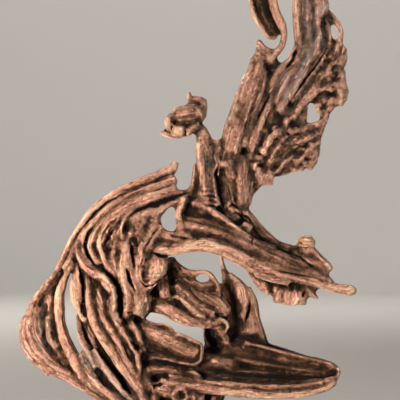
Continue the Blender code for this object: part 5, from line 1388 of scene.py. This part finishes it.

# How sheltered each place is from the light round it, which is later painted as shade on the
# bark, and how high it stands, which is measured against the same mesh smoothed for few,
# more and many rounds.
SHELTER_REACH, SHELTER_RAYS, GOLDEN_TURN, FAR_SHARE = 0.055, 14, 2.399963, 0.6
SKIN_GAP = 0.0008
RELIEF_SHARES = {4: 0.7, 24: 0.6, 90: 0.25}
ends, normal = edge_ends(body), read(body, "normal")
relief = 0.0
for rounds, share in RELIEF_SHARES.items():
    smoothed = np.stack([spread_out(at[:, k].astype(float), rounds, ends) for k in range(3)], 1)
    relief = relief + ((at - smoothed) * normal).sum(1) * 1000 * share
tree = BVHTree.FromPolygons(at.tolist(), [tuple(face.vertices) for face in body.polygons])
turns = np.arange(SHELTER_RAYS) * GOLDEN_TURN
outs = np.sqrt((np.arange(SHELTER_RAYS) + 0.5) / SHELTER_RAYS)
sheltered = np.zeros(len(at))
for i in range(len(at)):
    n = Vector(normal[i])
    side = n.orthogonal().normalized()
    other = n.cross(side)
    origin = Vector(at[i]) + n * SKIN_GAP
    blocked = 0.0
    for turn, out in zip(turns, outs):
        way = (side * math.cos(turn) + other * math.sin(turn)) * out
        way = way + n * math.sqrt(max(0.0, 1 - out * out))
        distance = tree.ray_cast(origin, way, SHELTER_REACH)[3]
        if distance is not None:
            blocked += 1 - FAR_SHARE * distance / SHELTER_REACH
    sheltered[i] = blocked / SHELTER_RAYS

# Tones: how salmon and how silver each limb is, a few named spots and lines of wear, painted
# highlight, painted sheen and painted shade, and painted shade added to the shelter along the
# crevices.
TONE_ROUNDS, SHELTER_ROUNDS = 8, 2
BACK_SHELTER, CREVICE_SHELTER, CREVICE_SPREAD = 0.5, 0.04, 1.2
REVERSE_SALMON, REVERSE_SILVER = -0.75, 0.25
here, owner = flow_at(at)
tone = np.array([LIMB_TONE.get(name, REGION_TONE[region]) for region, name in names])
salmon, silver = (spread_out(tone[owner, k], TONE_ROUNDS, ends) for k in (0, 1))
x, z = drawn(at)
for *spot, more_salmon, more_silver in WEAR_AND_PAINTED_LIGHT_SPOTS:
    share = near_spot(x, z, *spot)
    salmon, silver = salmon + share * more_salmon, silver + share * more_silver
for across, more_salmon, more_silver, path in PAINTED_HIGHLIGHT_AND_SHADE_LINES:
    share = near_line(x, z, across, path)
    salmon, silver = salmon + share * more_salmon, silver + share * more_silver
turned_away = np.clip(normal[:, 1] * 2.0, 0, 1)
salmon, silver = salmon + REVERSE_SALMON * turned_away, silver + REVERSE_SILVER * turned_away
# The back column's shelter is eased, so less shade is painted on it.
sheltered *= np.where([names[i][0] == "back" for i in owner], BACK_SHELTER, 1.0)
# Painted shade: the shelter grows along the crevices cut into the front, which darkens them.
for across, depth, path in CREVICES.values():
    share = near_line(x, z, across * CREVICE_SPREAD, path) * (normal[:, 1] < 0.1)
    sheltered += CREVICE_SHELTER * depth * share
put(body, "flow", "FLOAT_VECTOR", here)
put(body, "salmon", "FLOAT", np.clip(salmon, -0.5, 2.5))
put(body, "silver", "FLOAT", np.clip(silver, 0, 1.5))
put(body, "shelter", "FLOAT", spread_out(np.minimum(sheltered, 1), SHELTER_ROUNDS, ends))
put(body, "relief", "FLOAT", relief)

# The bark goes from nearly black through brown and tan to salmon and cream, the higher it
# stands and the more worn it is, so ridges get wear and painted highlight and valleys painted
# shade, with silver along some strands, partly weathered grey and partly painted sheen, and
# painted shade, nearly black, in the sheltered hollows.
DARK, UMBER = (0.007, 0.003, 0.0015, 1), (0.026, 0.013, 0.006, 1)
BROWN, TAN = (0.064, 0.028, 0.010, 1), (0.22, 0.112, 0.060, 1)
SALMON, CREAM_WEAR_AND_HIGHLIGHT, SILVER_GREY_AND_SHEEN = (0.80, 0.41, 0.29, 1), (0.95, 0.64, 0.42, 1), (0.52, 0.43, 0.38, 1)
FINE_SCALE = (0.020, 0.36, 1.0)
GRAIN_DEPTH, BARK_SPECULAR = 0.0075, 0.22
bark.use_nodes = True
shader = bark.node_tree.nodes["Principled BSDF"]
start = Value(bark.node_tree)
attribute = "ShaderNodeAttribute"
shelter = start.make(attribute, output=2, attribute_name="shelter")
height = start.make(attribute, output=2, attribute_name="relief")
# The salmon share holds wear and also the painted highlights and shade of the spots and lines.
worn = start.make(attribute, output=2, attribute_name="salmon")
grey_and_sheen_share = start.make(attribute, output=2, attribute_name="silver")
place = start.make("ShaderNodeTexCoord", output=3)
run = bent(start.make(attribute, output=1, attribute_name="flow"), place)
fine = run.vector("MULTIPLY", FINE_SCALE).noise(1.0, 3.0, 0.65)
strand = run.vector("MULTIPLY", STRAND_SCALE).noise(1.0, 2.0, 0.6)
mottle = place.noise(34.0, 5.0, 0.7)
speck = place.noise(150.0, 3.0, 0.7)
drift = place.noise(8.0, 2.0, 0.5)
# Higher relief and more salmon raise the level: ridges get wear and painted highlight, valleys
# painted shade.
level = height * 0.5 + fine * 2.3 + strand * 1.0 + mottle * 2.3 + speck * 1.0 - 4.45
level = level + drift * 1.4 + worn * 1.1
paint = (mottle + strand - 0.5).step(0.36, 0.64).colours(UMBER, BROWN)
paint = level.step(-0.9, 0.5).colours(paint, TAN)
paint = level.step(0.1, 1.7).colours(paint, SALMON)
paint = level.step(1.5, 3.0).colours(paint, CREAM_WEAR_AND_HIGHLIGHT)
# Silver along strands, partly weathered grey and partly painted sheen.
silvered = (grey_and_sheen_share * (strand * 1.4 + fine * 0.6 - 0.1)).step(0.15, 1.1) * 0.6
paint = silvered.colours(paint, SILVER_GREY_AND_SHEEN)
paint = (fine * 0.6 + speck * 0.4).step(0.30, 0.50).colours(DARK, paint)
# Painted shade: sheltered and low places go to nearly black.
painted_hollow_shade = (shelter * 1.35 - height * 0.24 - 0.30).step(0.0, 0.95)
paint = painted_hollow_shade.colours(paint, DARK)
bark.node_tree.links.new(paint.socket, shader.inputs["Base Color"])
gloss = painted_hollow_shade * 0.45 + fine * 0.3 + 0.26
bark.node_tree.links.new(gloss.socket, shader.inputs["Roughness"])
crease = fine * 1.3 + strand * 0.6 + mottle * 1.1 + speck * 0.4
inputs = {"Height": crease, "Strength": 1.0, "Distance": GRAIN_DEPTH}
bark.node_tree.links.new(start.make("ShaderNodeBump", inputs).socket, shader.inputs["Normal"])
shader.inputs["Specular IOR Level"].default_value = BARK_SPECULAR

body.materials.clear()
body.materials.append(bark)
body.shade_smooth()
wood.name = "driftwood_fine"
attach(wood, "root")
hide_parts("driftwood")
